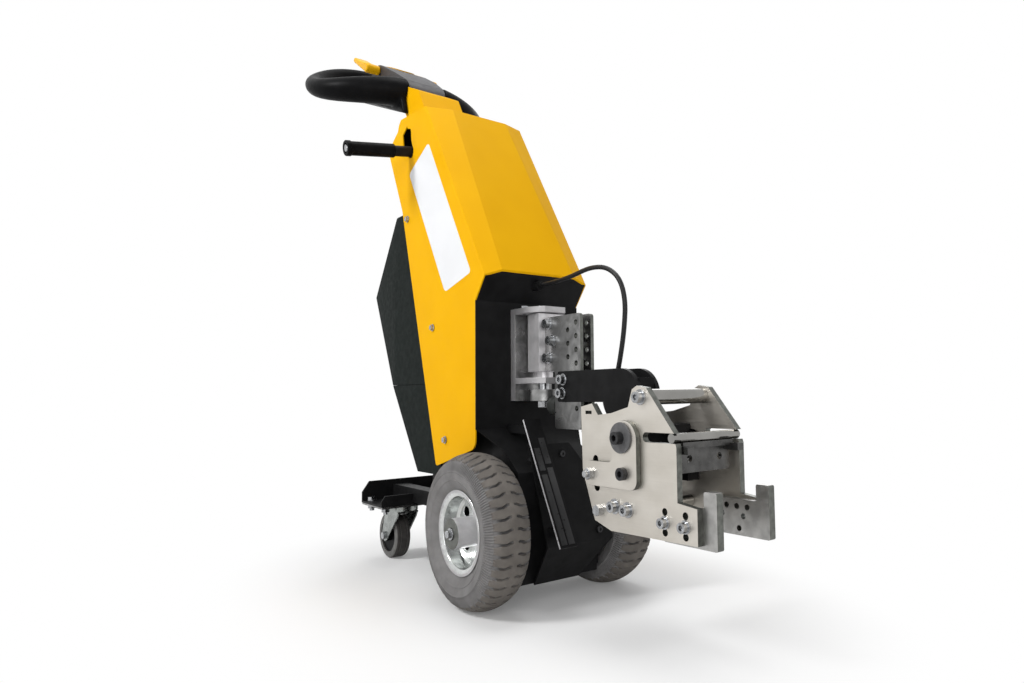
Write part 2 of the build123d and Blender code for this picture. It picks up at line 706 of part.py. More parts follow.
def lever_slot():
    reach = math.hypot(LEVER_ROOT[0] - LEVER_PIVOT[0], LEVER_ROOT[1] - LEVER_PIVOT[1])
    start = math.degrees(math.atan2(LEVER_ROOT[1] - LEVER_PIVOT[1], LEVER_ROOT[0] - LEVER_PIVOT[0]))
    arc = CenterArc(LEVER_PIVOT, reach, start - 1, LEVER_TRAVEL + 2)
    outer, inner = -COWL_HALF - COWL_SHEET, -COWL_INNER + COWL_SHEET
    slot = Plane.YZ.offset(outer) * SlotArc(arc, 2 * (LEVER_RADIUS + SLOT_ROOM))
    return extrude(slot, amount=inner - outer, dir=(1, 0, 0)) + plate_x(SLOT_DROP, outer, inner)


def foot_line():
    """The lower edge of the cowl's front, rising forward from the foot of its side."""
    reach = 2 * TONGUE_Y
    return [COWL_FOOT, (COWL_FOOT[0] - reach, COWL_FOOT[1] + FOOT_RISE * reach)]


def cowl():
    front = foot_line()[1][0]
    rear = COWL_BACK[3][0]
    skirt = (TONGUE_Y, tyre_top(TONGUE_Y) + SKIRT_ROOM)
    knee = (TONGUE_Y, PANEL_KNEE_Z)
    outline = [COWL_FOOT, COWL_HEAD, COWL_REAR, *COWL_BACK, COWL_TAIL, COWL_TOE, skirt, knee]
    side = plate_x(outline, COWL_INNER, COWL_HALF)
    side = round_corner(side, skirt, SKIRT_CORNER)
    side = round_corner(side, COWL_TOE, TOE_CORNER)
    trim = [*foot_line()[::-1], knee, COWL_TAIL, *COWL_BACK[::-1], COWL_REAR, (front, cowl_top_z(front))]
    outer = cowl_body(0, rear + COWL_SHEET)
    shell = (outer - cowl_body(COWL_SHEET, rear + 2 * COWL_SHEET)) & plate_x(trim, -COWL_HALF, COWL_HALF)
    lid_line = [(front, cowl_top_z(front)), COWL_REAR]
    lid = outer & sheet_x(lid_line, COWL_SHEET, -COWL_HALF, COWL_HALF)
    solid = fuse([shell, *both_sides(side), lid])
    slope = (NECK_FRONT[0] - NECK_FOOT[0]) / (NECK_FRONT[1] - NECK_FOOT[1])
    neck_front = NECK_FOOT[0] + slope * (COWL_HEAD[1] - NECK_FOOT[1]) - 2 * NECK_ROOM
    room = NECK_HALF + NECK_ROOM
    solid -= block(-room, room, neck_front, WIDE, COWL_HEAD[1] - 4 * COWL_SHEET, HIGH)
    return without_screws(solid) - lever_slot()


# Front panel, guard and kick bar
def panel_line():
    return [(LOWER_PANEL_Y, LOWER_PANEL_FOOT), (LOWER_PANEL_Y, LOWER_PANEL_TOP), (PANEL_Y, PANEL_SILL_Z),
            (PANEL_Y, PANEL_KNEE_Z), COWL_FOOT]


def front_panel():
    solid = sheet_x(panel_line(), PANEL_SHEET, -COWL_HALF, COWL_HALF)
    lip = sheet_x(foot_line(), PANEL_SHEET, -COWL_HALF, COWL_HALF)
    solid += lip & cowl_body(COWL_SHEET, WIDE)
    edge = FRAME_HALF + PANEL_SHEET
    arch_z = 2 * TYRE_RADIUS + ARCH_ROOM
    for side in (-1, 1):
        arch = [(side * WIDE, arch_z + ARCH_RISE), (side * COWL_HALF, arch_z + ARCH_RISE),
                (side * edge, arch_z), (side * edge, 0), (side * WIDE, 0)]
        solid -= plate_y(arch, -WIDE, WIDE)
    room = COWL_INNER - SHEET_ROOM
    for side in both_sides(block(room, WIDE, -WIDE, WIDE, PANEL_KNEE_Z, HIGH)):
        solid -= side
    for plane in sill_planes():
        solid -= plane * Cylinder(BODY_SCREW_RADIUS + BOLT_FIT, 4 * PANEL_SHEET)
    return solid - cowl() - rod_y(0, CABLE_ROUTE[0][1], GLAND_RADIUS, -WIDE, WIDE)


def sill_planes():
    """Seats of the two screws on the panel's slope."""
    x, z = SILL_SCREW
    slope = (PANEL_Y - LOWER_PANEL_Y) / (PANEL_SILL_Z - LOWER_PANEL_TOP)
    y = LOWER_PANEL_Y + slope * (z - LOWER_PANEL_TOP)
    return [Plane(origin=(side * x, y, z), z_dir=(0, -1, slope)) for side in (-1, 1)]


def behind_panel():
    return plate_x(panel_line() + [(WIDE, COWL_FOOT[1]), (WIDE, LOWER_PANEL_FOOT)], -WIDE, WIDE)


def panel_gland():
    nose_radius, nose = GLAND_NOSE
    start, seat = CABLE_ROUTE[0]
    body = rod_y(0, seat, GLAND_RADIUS, start + nose, GLAND_REAR)
    return body + rod_y(0, seat, nose_radius, start, start + nose)


def guard_face_y(z):
    slope = (GUARD_HEAD[0] - GUARD_FOLD[0]) / (GUARD_HEAD[1] - GUARD_FOLD[1])
    return GUARD_HEAD[0] + slope * (z - GUARD_HEAD[1])


def front_guard():
    wide = FRAME_HALF
    sheet = sheet_x([GUARD_FOOT, GUARD_FOLD, GUARD_HEAD], GUARD_SHEET, GUARD_LEFT, wide)
    top, foot = GUARD_HEAD[1] + RAIL_SIZE / 3, GUARD_FOOT[1] - RAIL_SIZE / 3
    outline = [(GUARD_LEFT, top), (GUARD_TOP_X, top), (wide, GUARD_SIDE_Z[0]), (wide, GUARD_SIDE_Z[1]),
               (GUARD_BASE_X, foot), (GUARD_LEFT, foot)]
    solid = sheet & plate_y(outline, -WIDE, WIDE)
    for x, z in GUARD_SCREWS:
        solid += rod_y(x, z, GUARD_POST_RADIUS, guard_face_y(z) + GUARD_SHEET / 2, PANEL_Y) - behind_panel()
    return solid


def behind_guard():
    outline = [GUARD_FOOT, GUARD_FOLD, GUARD_HEAD, (0, GUARD_HEAD[1]), (0, GUARD_FOOT[1])]
    return plate_x(outline, -WIDE, WIDE)


def bar_face_y(z):
    slope = (BAR_HEAD[0] - BAR_FOOT[0]) / (BAR_HEAD[1] - BAR_FOOT[1])
    return BAR_HEAD[0] + slope * (z - BAR_HEAD[1])


def kick_bar():
    solid = sheet_x([BAR_FOOT, BAR_HEAD], BAR_SHEET, BAR_X[0], BAR_X[1])
    left = (BAR_X[0] + BAR_X[1] - BAR_TAB) / 2
    ends = ((PANEL_Y, behind_panel()), (GUARD_HEAD[0], behind_guard()))
    for (low, high), (rear, behind) in zip(BAR_TAB_Z, ends):
        front = bar_face_y(high) + BAR_SHEET / 4
        solid += block(left, left + BAR_TAB, front, rear, low, high) - behind
    return solid


def bar_strips():
    def along(share):
        return tuple(foot + (head - foot) * share for foot, head in zip(BAR_FOOT, BAR_HEAD))

    solids = []
    for start, end, x0, x1 in STRIPS:
        line = [along(start), along(end)]
        solids.append(sheet_x(line, -STRIP_SHEET, BAR_X[0] + x0, BAR_X[0] + x1))
    return group(solids)


# Rear cover and battery housing
def housing_shape(inset):
    """The housing's outer form, or its hollow when inset by the sheet thickness."""
    top, peak, foot = offset_line([HOUSING_TOP, HOUSING_PEAK, HOUSING_FOOT], inset)
    top = (top[0], HOUSING_TOP[1] - inset)
    foot = (foot[0], HOUSING_FOOT[1] - inset)
    high, low = [(cover_front_y(z) - COVER_LAP * inset, z) for z in (top[1], foot[1])]
    outline = [high, top, peak, foot, low]
    half = COVER_HALF - inset
    tail = half - HOUSING_TAPER
    plan = [(-half, 0), (half, 0), (half, HOUSING_BEND_Y), (tail, HOUSING_PEAK[0]),
            (-tail, HOUSING_PEAK[0]), (-half, HOUSING_BEND_Y)]
    return plate_x(outline, -half, half) & plate_z(plan, 0, HIGH)


def rear_housing():
    return housing_shape(0) - housing_shape(COVER_SHEET)


def rear_cover():
    head = HOUSING_FOOT[1] - FACE_GAP
    line = [(HOUSING_FOOT[0] - HOUSING_PROUD, head), COVER_FOOT]
    inner_line = offset_line(line, COVER_SHEET)
    low, high = COVER_FOOT[1] + COVER_SHEET, head + COVER_LAP
    outline = [(cover_front_y(head), head)] + line + [(cover_front_y(COVER_FOOT[1]), COVER_FOOT[1])]
    slope = (line[0][0] - COVER_FOOT[0]) / (head - COVER_FOOT[1])
    inside = [(0, high), (inner_line[0][0] + slope * COVER_LAP, high), (inner_line[1][0], low), (0, low)]
    inner = COVER_HALF - COVER_SHEET
    solid = plate_x(outline, -COVER_HALF, COVER_HALF) - plate_x(inside, -inner, inner)
    x0, x1 = FRAME_HALF - FRAME_PLATE - SHEET_ROOM, FRAME_HALF + SHEET_ROOM
    notch = block(x0, x1, 0, FRAME_REAR + SHEET_ROOM, 0, low + COVER_SHEET)
    for side in both_sides(notch):
        solid -= side
    return solid


def rear_grab():
    fall = Vector(0, HOUSING_PEAK[0] - HOUSING_TOP[0], HOUSING_PEAK[1] - HOUSING_TOP[1]).normalized()
    out = Vector(0, -fall.Z, fall.Y)
    top = Vector(0, *HOUSING_TOP) + fall * GRAB_START + out * GRAB_LIFT
    foot = top + fall * GRAB_LENGTH
    side = Vector(GRAB_HALF, 0, 0)
    line = FilletPolyline(foot - side, top - side, top + side, foot + side, radius=GRAB_BEND)
    solid = sweep(Plane(origin=foot - side, z_dir=-fall) * Circle(GRAB_RADIUS), path=line)
    for point in (foot - side, foot + side):
        solid += Pos(*point) * Sphere(GRAB_RADIUS)
    step = fall * GRAB_LEG_STEP
    for point in (foot - side, foot + side, top - side + step, top + side + step):
        leg = Pos(0, 0, -GRAB_LIFT / 2) * Cylinder(GRAB_LEG_RADIUS, GRAB_LIFT)
        solid += Plane(origin=point, z_dir=out) * leg
    return solid - plate_x([HOUSING_TOP, HOUSING_PEAK, (COVER_FOOT[0], HOUSING_FOOT[1])], -WIDE, WIDE)


# Castor tray and castors
def tray_bolt_points():
    points = []
    for side in (-1, 1):
        for x in (-1, 1):
            for y in (-1, 1):
                points.append((side * CASTOR_X + x * CASTOR_BOLTS[0] / 2, TRAY_MID + y * CASTOR_BOLTS[1] / 2))
    return points


def castor_tray():
    """The folded tray on its two rails."""
    base = CASTOR_HEIGHT
    y0, y1 = TRAY_Y
    solid = block(-TRAY_HALF, TRAY_HALF, y0, y1, base, base + TRAY_SHEET)
    for y, height in ((y0, TRAY_FRONT_LIP), (y1 - TRAY_SHEET, TRAY_REAR_LIP)):
        side, top = base + height * TRAY_LIP_SIDE, TRAY_HALF - height * TRAY_LIP_SLANT
        lip = [(-TRAY_HALF, base), (TRAY_HALF, base), (TRAY_HALF, side), (top, base + height),
               (-top, base + height), (-TRAY_HALF, side)]
        solid += plate_y(lip, y, y + TRAY_SHEET)
    solid = fuse([solid] + rails())
    for x, y in tray_bolt_points():
        solid -= rod_z(x, y, CASTOR_BOLT_RADIUS + BOLT_FIT, 0, base + TRAY_SHEET)
    return solid


def tray_bolts():
    seat = CASTOR_HEIGHT + TRAY_SHEET
    grip = TRAY_SHEET + CASTOR_PLATE[2]
    length = grip + CASTOR_NUT_HEIGHT + CASTOR_BOLT_RADIUS
    solids = []
    for x, y in tray_bolt_points():
        bolt = fastener((x, y, seat), (0, 0, 1), CASTOR_BOLT_RADIUS, length, CASTOR_BOLT_CAP, True)
        nut = extrude(RegularPolygon(CASTOR_BOLT_CAP[0], 6), amount=CASTOR_NUT_HEIGHT)
        solids.append(bolt + Pos(x, y, seat - grip - CASTOR_NUT_HEIGHT) * nut)
    return solids


def castor_plates():
    width, depth, thick = CASTOR_PLATE
    top = CASTOR_HEIGHT
    pin_end = top - thick - FORK_DEPTH - FACE_GAP
    nut_radius, nut = KING_NUT
    front, rear = TRAY_MID - depth / 2, TRAY_MID + depth / 2
    solids = []
    for x in (-CASTOR_X, CASTOR_X):
        solid = block(x - width / 2, x + width / 2, front, rear, top - thick, top)
        solid += rod_z(x, TRAY_MID, KING_PIN_RADIUS, pin_end, top)
        solids.append(solid + rod_z(x, TRAY_MID, nut_radius, pin_end - nut, pin_end))
    plates = group(solids)
    for x, y in tray_bolt_points():
        plates -= rod_z(x, y, CASTOR_BOLT_RADIUS + BOLT_FIT, 0, top + thick)
    return plates


def castor_fork(x):
    race_top = CASTOR_HEIGHT - CASTOR_PLATE[2] - FACE_GAP
    bridge = CASTOR_HEIGHT - CASTOR_PLATE[2] - FORK_DEPTH
    top = bridge + FORK_BRIDGE
    inner = CASTOR_WIDTH / 2 + CASTOR_SIDE_ROOM
    outer = inner + CASTOR_LEG
    front, rear = TRAY_MID - FORK_REACH[0], TRAY_MID + FORK_REACH[1]
    y, z = TRAY_MID + CASTOR_TRAIL, CASTOR_RADIUS
    solid = rod_z(x, TRAY_MID, RACE_RADIUS, top, race_top)
    solid += block(x - outer, x + outer, front, rear, bridge, top)
    leg = [(front, top), (rear, top), (y + 14, z + 8), (y + 10, z - 9), (y, z - 13), (y - 12, z - 8),
           (front + 6, bridge - 8)]
    for side in (-1, 1):
        solid += plate_x(leg, x + side * inner, x + side * outer)
    solid -= rod_z(x, TRAY_MID, KING_PIN_RADIUS + RUN_FIT, 0, WIDE)
    return solid - rod_x(y, z, CASTOR_AXLE_RADIUS, x - outer, x + outer)


def castor_axle(x):
    outer = CASTOR_WIDTH / 2 + CASTOR_SIDE_ROOM + CASTOR_LEG
    y = TRAY_MID + CASTOR_TRAIL
    solid = rod_x(y, CASTOR_RADIUS, CASTOR_AXLE_RADIUS, x - outer, x + outer)
    for side in (-1, 1):
        seat = (x + side * outer, y, CASTOR_RADIUS)
        solid += fastener(seat, (side, 0, 0), CASTOR_AXLE_RADIUS, CASTOR_LEG, CASTOR_AXLE_CAP, True)
    return solid


def castor_core(x):
    y = TRAY_MID + CASTOR_TRAIL
    half = CASTOR_WIDTH / 2 - CASTOR_CORE_INSET
    hub_half = CASTOR_WIDTH / 2 + CASTOR_SIDE_ROOM - FACE_GAP
    solid = rod_x(y, CASTOR_RADIUS, CASTOR_CORE_RADIUS, x - half, x + half)
    solid += rod_x(y, CASTOR_RADIUS, CASTOR_HUB_RADIUS, x - hub_half, x + hub_half)
    return solid - rod_x(y, CASTOR_RADIUS, CASTOR_AXLE_RADIUS + RUN_FIT, -WIDE, WIDE)


def castor_tread(x):
    y = TRAY_MID + CASTOR_TRAIL
    half = CASTOR_WIDTH / 2
    share, width, depth = CASTOR_GROOVE
    solid = rod_x(y, CASTOR_RADIUS, CASTOR_RADIUS, x - half, x + half)
    solid = fillet(solid.edges().filter_by(GeomType.CIRCLE), CASTOR_EDGE)
    floor = rod_x(y, CASTOR_RADIUS, CASTOR_RADIUS - depth, x - half, x + half)
    for side in (-1, 1):
        start = x + side * half * share - width / 2
        solid -= rod_x(y, CASTOR_RADIUS, CASTOR_RADIUS + depth, start, start + width) - floor
    return solid - rod_x(y, CASTOR_RADIUS, CASTOR_CORE_RADIUS, -WIDE, WIDE)


# Neck and tiller head
def neck_slope():
    return (NECK_FRONT[0] - NECK_FOOT[0]) / (NECK_FRONT[1] - NECK_FOOT[1])


def neck_outline():
    back_foot = (NECK_FOOT[0] + NECK_DEPTH, NECK_FOOT[1])
    rear_z = NECK_FRONT[1] - NECK_REAR_DROP
    rear = (back_foot[0] + neck_slope() * (rear_z - NECK_FOOT[1]), rear_z)
    tail = (NECK_BACK[0] + NECK_TAIL[0], NECK_BACK[1] - NECK_TAIL[1])
    return [NECK_FOOT, NECK_FRONT, NECK_BACK, tail, rear, back_foot]


def neck_solid():
    return plate_x(neck_outline(), -NECK_HALF, NECK_HALF)


def neck():
    rear, back_foot = neck_outline()[-2:]
    inner = NECK_HALF - NECK_WALL
    wall = NECK_WALL * math.hypot(1, neck_slope())
    low = NECK_FOOT[1] - NECK_DEPTH
    drift = neck_slope() * NECK_DEPTH
    top = NECK_FRONT[1] - NECK_HOLLOW_DROP
    front = NECK_FRONT[0] + wall - neck_slope() * NECK_HOLLOW_DROP
    hollow = [(NECK_FOOT[0] + wall - drift, low), (front, top),
              (rear[0] - NECK_HOLLOW_STEP, rear[1] - NECK_HOLLOW_STEP), (back_foot[0] - wall - drift, low)]
    return neck_solid() - plate_x(hollow, -inner, inner)


def console_solid():
    outline = list(CONSOLE_TOP) + [CONSOLE_HEEL, NECK_BACK]
    nose, half = CONSOLE_NOSE_HALF, CONSOLE_HALF
    front = CONSOLE_TOP[0][0]
    bend = front + CONSOLE_NOSE_LENGTH
    plan = [(-nose, front), (nose, front), (half, bend), (half, HIGH), (-half, HIGH), (-half, bend)]
    return (plate_x(outline, -half, half) & plate_z(plan, 0, HIGH)) - neck_solid()


def belly_axis():
    lower, upper = Vector(0, *SHELL_BOTTOM[-1]), Vector(0, *SHELL_TAIL)
    along = (upper - lower).normalized()
    return Plane(origin=(lower + upper) / 2, x_dir=(1, 0, 0), z_dir=(0, along.Z, -along.Y))


def belly_pocket():
    depth = 2 * BELLY_STEM
    hole = Cylinder(BELLY_STEM_RADIUS + FACE_GAP, depth)
    return belly_axis() * (Pos(0, 0, BELLY_TRAVEL - depth / 2) * hole)


def console():
    y, z = ROCKER_PIVOT
    return console_solid() - rod_x(y, z, ROCKER_SHAFT_RADIUS + RUN_FIT, -WIDE, WIDE)


def belly_button():
    depth = BELLY_TRAVEL + FACE_GAP
    plane = belly_axis()
    cap = plane * (Pos(0, 0, depth + BELLY_CAP / 2) * Cylinder(BELLY_RADIUS, BELLY_CAP))
    stem = plane * (Pos(0, 0, (depth - BELLY_STEM) / 2) * Cylinder(BELLY_STEM_RADIUS, depth + BELLY_STEM))
    return fillet(cap.edges().filter_by(GeomType.CIRCLE).sort_by(Axis.Y)[-1:], BELLY_EDGE) + stem


def head_shell_solid():
    outline = list(SHELL_BOTTOM) + [SHELL_TAIL, CONSOLE_TOP[-1], CONSOLE_HEEL, NECK_BACK]
    return plate_x(outline, -SHELL_HALF, SHELL_HALF)


def head_shell():
    return head_shell_solid() - neck_solid() - belly_pocket()


def loop_section(turn):
    """A round slice of the loop, turn measured from the front, where the loop is thickest and sags."""
    x = LOOP_HALF * math.sin(turn)
    y = LOOP_CENTRE[0] - LOOP_REACH * math.cos(turn)
    near = (1 + math.cos(turn)) / 2
    sag = LOOP_DROOP * math.sin(turn) ** 2 + LOOP_FRONT_SAG * near ** 2
    z = LOOP_CENTRE[1] + LOOP_RISE * (y - LOOP_CENTRE[0]) - sag
    dx = LOOP_HALF * math.cos(turn)
    dy = LOOP_REACH * math.sin(turn)
    sag_rate = 2 * LOOP_DROOP * math.sin(turn) * math.cos(turn) - LOOP_FRONT_SAG * near * math.sin(turn)
    radius = LOOP_REAR_RADIUS + (LOOP_FRONT_RADIUS - LOOP_REAR_RADIUS) * near ** 2
    plane = Plane(origin=(x, y, z), x_dir=(-dy, dx, 0), z_dir=(dx, dy, LOOP_RISE * dy - sag_rate))
    return plane * Circle(radius)


def loop_handle():
    steps = [math.pi * index / (LOOP_SECTIONS - 1) for index in range(LOOP_SECTIONS)]
    half = loft([loop_section(turn) for turn in steps])
    loop = half + mirror(half, about=Plane.YZ)
    loop -= block(-CONSOLE_NOSE_HALF, CONSOLE_NOSE_HALF, 0, LOOP_CENTRE[0], 0, HIGH)
    loop = loop - head_shell_solid() - neck_solid() - console_solid()
    return loop.solids().sort_by(SortBy.VOLUME)[-1]


def thumb_rocker():
    y, z = ROCKER_PIVOT
    inner = CONSOLE_HALF + FACE_GAP
    outer = inner + PADDLE_WIDTH
    dy, dz = PADDLE_TIP[0] - y, PADDLE_TIP[1] - z
    reach = math.hypot(dy, dz)

    def point(share, lift):
        return y + share * dy - lift * dz / reach, z + share * dz + lift * dy / reach

    outline = [point(0, -PADDLE_ROOT[0]), point(1, -PADDLE_TIP_HALF), point(1, PADDLE_TIP_HALF),
               point(*PADDLE_DIP), point(0, PADDLE_ROOT[1])]
    paddle = plate_x(outline, inner, outer)
    for corner in outline[1:3]:
        paddle = round_corner(paddle, corner, PADDLE_CORNER)
    paddle += rod_x(y, z, PADDLE_HUB_RADIUS, inner, outer)
    return fuse([rod_x(y, z, ROCKER_SHAFT_RADIUS, -outer, outer)] + both_sides(paddle))


# Side lever, on the left side only
def lever_plane(x):
    run = -LEVER_TIP_X - COWL_HALF
    share = (-x - COWL_HALF) / run
    return Plane(origin=(x, LEVER_ROOT[0], LEVER_ROOT[1] - LEVER_DROP * share), z_dir=(-run, 0, -LEVER_DROP))


def side_lever():
    y, z = LEVER_PIVOT
    outer = CRANK_X - CRANK_PLATE
    start = lever_plane(CRANK_X)
    root = start.origin
    crank = plate_x([(y - 8, z + 12), (y + 8, z + 12), (root.Y + 12, root.Z + 10), (root.Y + 6, root.Z - 13),
                     (root.Y - 12, root.Z - 8), (y - 12, z - 8)], outer, CRANK_X)
    crank += rod_x(y, z, CRANK_EYE_RADIUS, outer, CRANK_X)
    end = math.hypot(LEVER_TIP_X - CRANK_X, LEVER_DROP) - LEVER_GRIP_LENGTH
    shaft = start * (Pos(0, 0, end / 2) * Cylinder(LEVER_RADIUS, end))
    core_end = end + LEVER_GRIP_LENGTH - LEVER_CAP_LENGTH
    core = start * (Pos(0, 0, core_end / 2) * Cylinder(LEVER_CORE_RADIUS, core_end))
    solid = crank + shaft + core
    solid -= block(CRANK_X, 0, -WIDE, WIDE, 0, HIGH)
    return solid - rod_x(y, z, LEVER_PIN_RADIUS + RUN_FIT, -WIDE, 0)


def lever_grip():
    solid = Pos(0, 0, -LEVER_GRIP_LENGTH / 2) * Cylinder(LEVER_GRIP_RADIUS, LEVER_GRIP_LENGTH)
    solid += Pos(0, 0, -LEVER_CAP_LENGTH / 2) * Cylinder(LEVER_CAP_RADIUS, LEVER_CAP_LENGTH)
    return lever_plane(LEVER_TIP_X) * solid - side_lever()


# Hitch bracket, swivel and mast
def lug(z0, z1):
    half = BRACKET_HALF
    rear = PANEL_Y - BRACKET_PLATE
    nose, reach = LUG_NOSE[0] * half, SWIVEL_Y - LUG_NOSE[1]
    shoulder = SWIVEL_Y - LUG_SHOULDER
    right = [(nose, reach), (half, shoulder), (half, rear)]
    left = [(-x, y) for x, y in right[::-1]]
    return plate_z(left + right, z0, z1)


def hitch_bracket():
    z0, z1 = BRACKET_Z
    rear = PANEL_Y - BRACKET_PLATE
    solid = block(-BRACKET_HALF, BRACKET_HALF, rear, PANEL_Y, z0, z1)
    solid += lug(z1 - LUG_PLATE, z1) + lug(LOWER_LUG_TOP - LUG_PLATE, LOWER_LUG_TOP)
    solid += rod_z(0, SWIVEL_Y, FOOT_BLOCK_RADIUS, z0, FOOT_BLOCK_TOP)
    solid += block(-FOOT_BLOCK_RADIUS, FOOT_BLOCK_RADIUS, SWIVEL_Y, rear, z0, FOOT_BLOCK_TOP)
    for x, y in TOP_BOLTS:
        solid -= rod_z(x, y, FRAME_BOLT_RADIUS + BOLT_FIT, z1 - TOP_BOLT_DEPTH, z1)
    return solid - rod_z(0, SWIVEL_Y, PIN_RADIUS, 0, WIDE)


def swivel_pin():
    z0, z1 = BRACKET_Z
    collar_radius, collar = PIN_COLLAR
    solid = rod_z(0, SWIVEL_Y, PIN_RADIUS, z0, z1)
    solid += fastener((0, SWIVEL_Y, z0), (0, 0, -1), PIN_RADIUS, FACE_GAP, PIN_CAP, True)
    return solid + rod_z(0, SWIVEL_Y, collar_radius, z1, z1 + collar)


def body_fasteners():
    solids = []
    for y, z in COWL_SCREWS:
        seat = (COWL_HALF, y, z)
        screw = fastener(seat, (1, 0, 0), BODY_SCREW_RADIUS, COWL_SCREW_LENGTH, COWL_SCREW_CAP, True)
        solids += both_sides(screw)
    seat = (FRAME_HALF, *FOOT_BOLT)
    solids += both_sides(fastener(seat, (1, 0, 0), FRAME_BOLT_RADIUS, FRAME_PLATE, FOOT_BOLT_CAP, True))
    guard = front_guard()
    for x, z in GUARD_SCREWS:
        seat = (x, guard_face_y(z) - GUARD_SHEET / 2, z)
        solids.append(fastener(seat, (0, -1, 0), BODY_SCREW_RADIUS, GUARD_SHEET, GUARD_SCREW_CAP) - guard)
    for plane in sill_planes():
        seat, out = plane.origin, plane.z_dir
        solids.append(fastener(seat, out, BODY_SCREW_RADIUS, SILL_SCREW_LENGTH, GUARD_SCREW_CAP))
    for x, y in TOP_BOLTS:
        seat = (x, y, BRACKET_Z[1])
        solids.append(fastener(seat, (0, 0, 1), FRAME_BOLT_RADIUS, LUG_PLATE, TOP_BOLT_CAP, True))
    return group(solids + tray_bolts())


def swivel_block():
    z0, z1 = BLOCK_Z
    solid = rod_z(0, SWIVEL_Y, BLOCK_HALF, z0, z1)
    solid += block(-BLOCK_HALF, BLOCK_HALF, BLOCK_FRONT, SWIVEL_Y, z0, z1)
    solid += block(-TONGUE_HALF, TONGUE_HALF, TONGUE_FRONT, BLOCK_FRONT, z0, MAST_Z[1])
    low, high = LOWER_LUG_TOP + FACE_GAP, BRACKET_Z[1] - LUG_PLATE - FACE_GAP
    solid += rod_z(0, SWIVEL_Y, SWIVEL_BOSS_RADIUS, low, high)
    solid -= rod_z(0, SWIVEL_Y, PIN_RADIUS + RUN_FIT, 0, WIDE)
    for y, z in MAST_BOLTS:
        solid -= rod_x(y, z, BOLT_RADIUS + BOLT_FIT, -WIDE, WIDE)
    return solid


def mast_hole_points():
    step = MAST_HOLE_STEP
    front, top = MAST_FRONT + MAST_HOLE_INSET[0], MAST_Z[1] - MAST_HOLE_INSET[1]
    column = [(front, top - index * step) for index in range(4)] + [(front, MAST_LOW_HOLE_Z)]
    return column + [(front + step, top - (index + 0.5) * step) for index in range(3)]


def mast_plate():
    z0, z1 = MAST_Z
    rear, step = BLOCK_FRONT - FACE_GAP, BLOCK_Z[0] + FACE_GAP
    outline = [(rear, step), (rear, z1), (MAST_FRONT, z1), (MAST_FRONT, z0), (MAST_STEP_Y, z0),
               (MAST_STEP_Y, step)]
    solid = rounded_plate_x(outline, MAST_CORNER, TONGUE_HALF, MAST_OUTER)
    for y, z in mast_hole_points():
        solid -= rod_x(y, z, MAST_HOLE_RADIUS, 0, WIDE)
    for y, z in MAST_BOLTS + ARM_BOLTS:
        solid -= rod_x(y, z, BOLT_RADIUS + BOLT_FIT, 0, WIDE)
    return solid


def mast_spacer():
    depth, half = MAST_SPACER
    low, high = BUFFER_Z - half, BUFFER_Z + half
    solid = block(-TONGUE_HALF, TONGUE_HALF, MAST_STEP_Y - depth, MAST_STEP_Y, low, high)
    return solid - rod_y(0, BUFFER_Z, BOLT_RADIUS, -WIDE, WIDE)


def mast_bolts():
    solids = []
    for points, outer in ((MAST_BOLTS, MAST_OUTER), (ARM_BOLTS, ARM_OUTER)):
        for y, z in points:
            bolt = fastener((-outer, y, z), (-1, 0, 0), BOLT_RADIUS, 2 * outer, MAST_BOLT_CAP)
            nut = fastener((outer, y, z), (1, 0, 0), BOLT_RADIUS, outer, MAST_NUT_CAP, True)
            solids.append(bolt + nut)
    return group(solids)


def arm():
    solid = block(MAST_OUTER, ARM_OUTER, ARM_END[0], ARM_REAR, ARM_Z[0], ARM_Z[1])
    solid = fillet(solid.edges().filter_by(Axis.X).sort_by(Axis.Y)[-2:], ARM_CORNER)
    solid += rod_x(ARM_END[0], ARM_END[1], ARM_Z[1] - ARM_END[1], MAST_OUTER, ARM_OUTER)
    for y, z in ARM_BOLTS:
        solid -= rod_x(y, z, BOLT_RADIUS + BOLT_FIT, 0, WIDE)
    return solid


def buffer():
    solid = rod_y(0, BUFFER_Z, BUFFER_RADIUS, MAST_STEP_Y, SWIVEL_Y - FOOT_BLOCK_RADIUS - 5 * FACE_GAP)
    solid = fillet(solid.edges().filter_by(GeomType.CIRCLE), BUFFER_EDGE)
    return solid + rod_y(0, BUFFER_Z, BOLT_RADIUS, MAST_STEP_Y - BUFFER_SHANK, MAST_STEP_Y + BUFFER_EDGE)


# Carrier, links and coupling head
def carrier():
    y0, y1 = CARRIER_Y
    low, high = CHEEK_Z
    top = ARM_END[1] - (ARM_Z[1] - ARM_END[1])
    dy, dz = CARRIER_STEP
    front, rear = y0 + CARRIER_NECK[0], y0 + CARRIER_NECK[1]
    solid = block(-CARRIER_HALF, CARRIER_HALF, y0 + dy, y1, high, top)
    solid += block(-MAST_OUTER, MAST_OUTER, front, rear, top, ARM_Z[1] - CARRIER_NECK_DROP)
    outline = [(y0, low), (y0, high - dz), (y0 + dy, high), (rear, high), (rear, low)]
    cheek = plate_x(outline, CHEEK_INNER, CARRIER_HALF)
    solid = fuse([solid] + both_sides(cheek))
    solid += rod_z(0, CABLE_ROUTE[-1][0], GLAND_RADIUS, top, CABLE_ROUTE[-1][1])
    for y, z in (SHAFT_POINT, PITCH):
        solid -= rod_x(y, z, LINK_SCREW_RADIUS + BOLT_FIT, -WIDE, WIDE)
    return solid - rod_x(STUD_POINT[0], STUD_POINT[1], LINK_STUD_RADIUS + BOLT_FIT, -WIDE, WIDE)


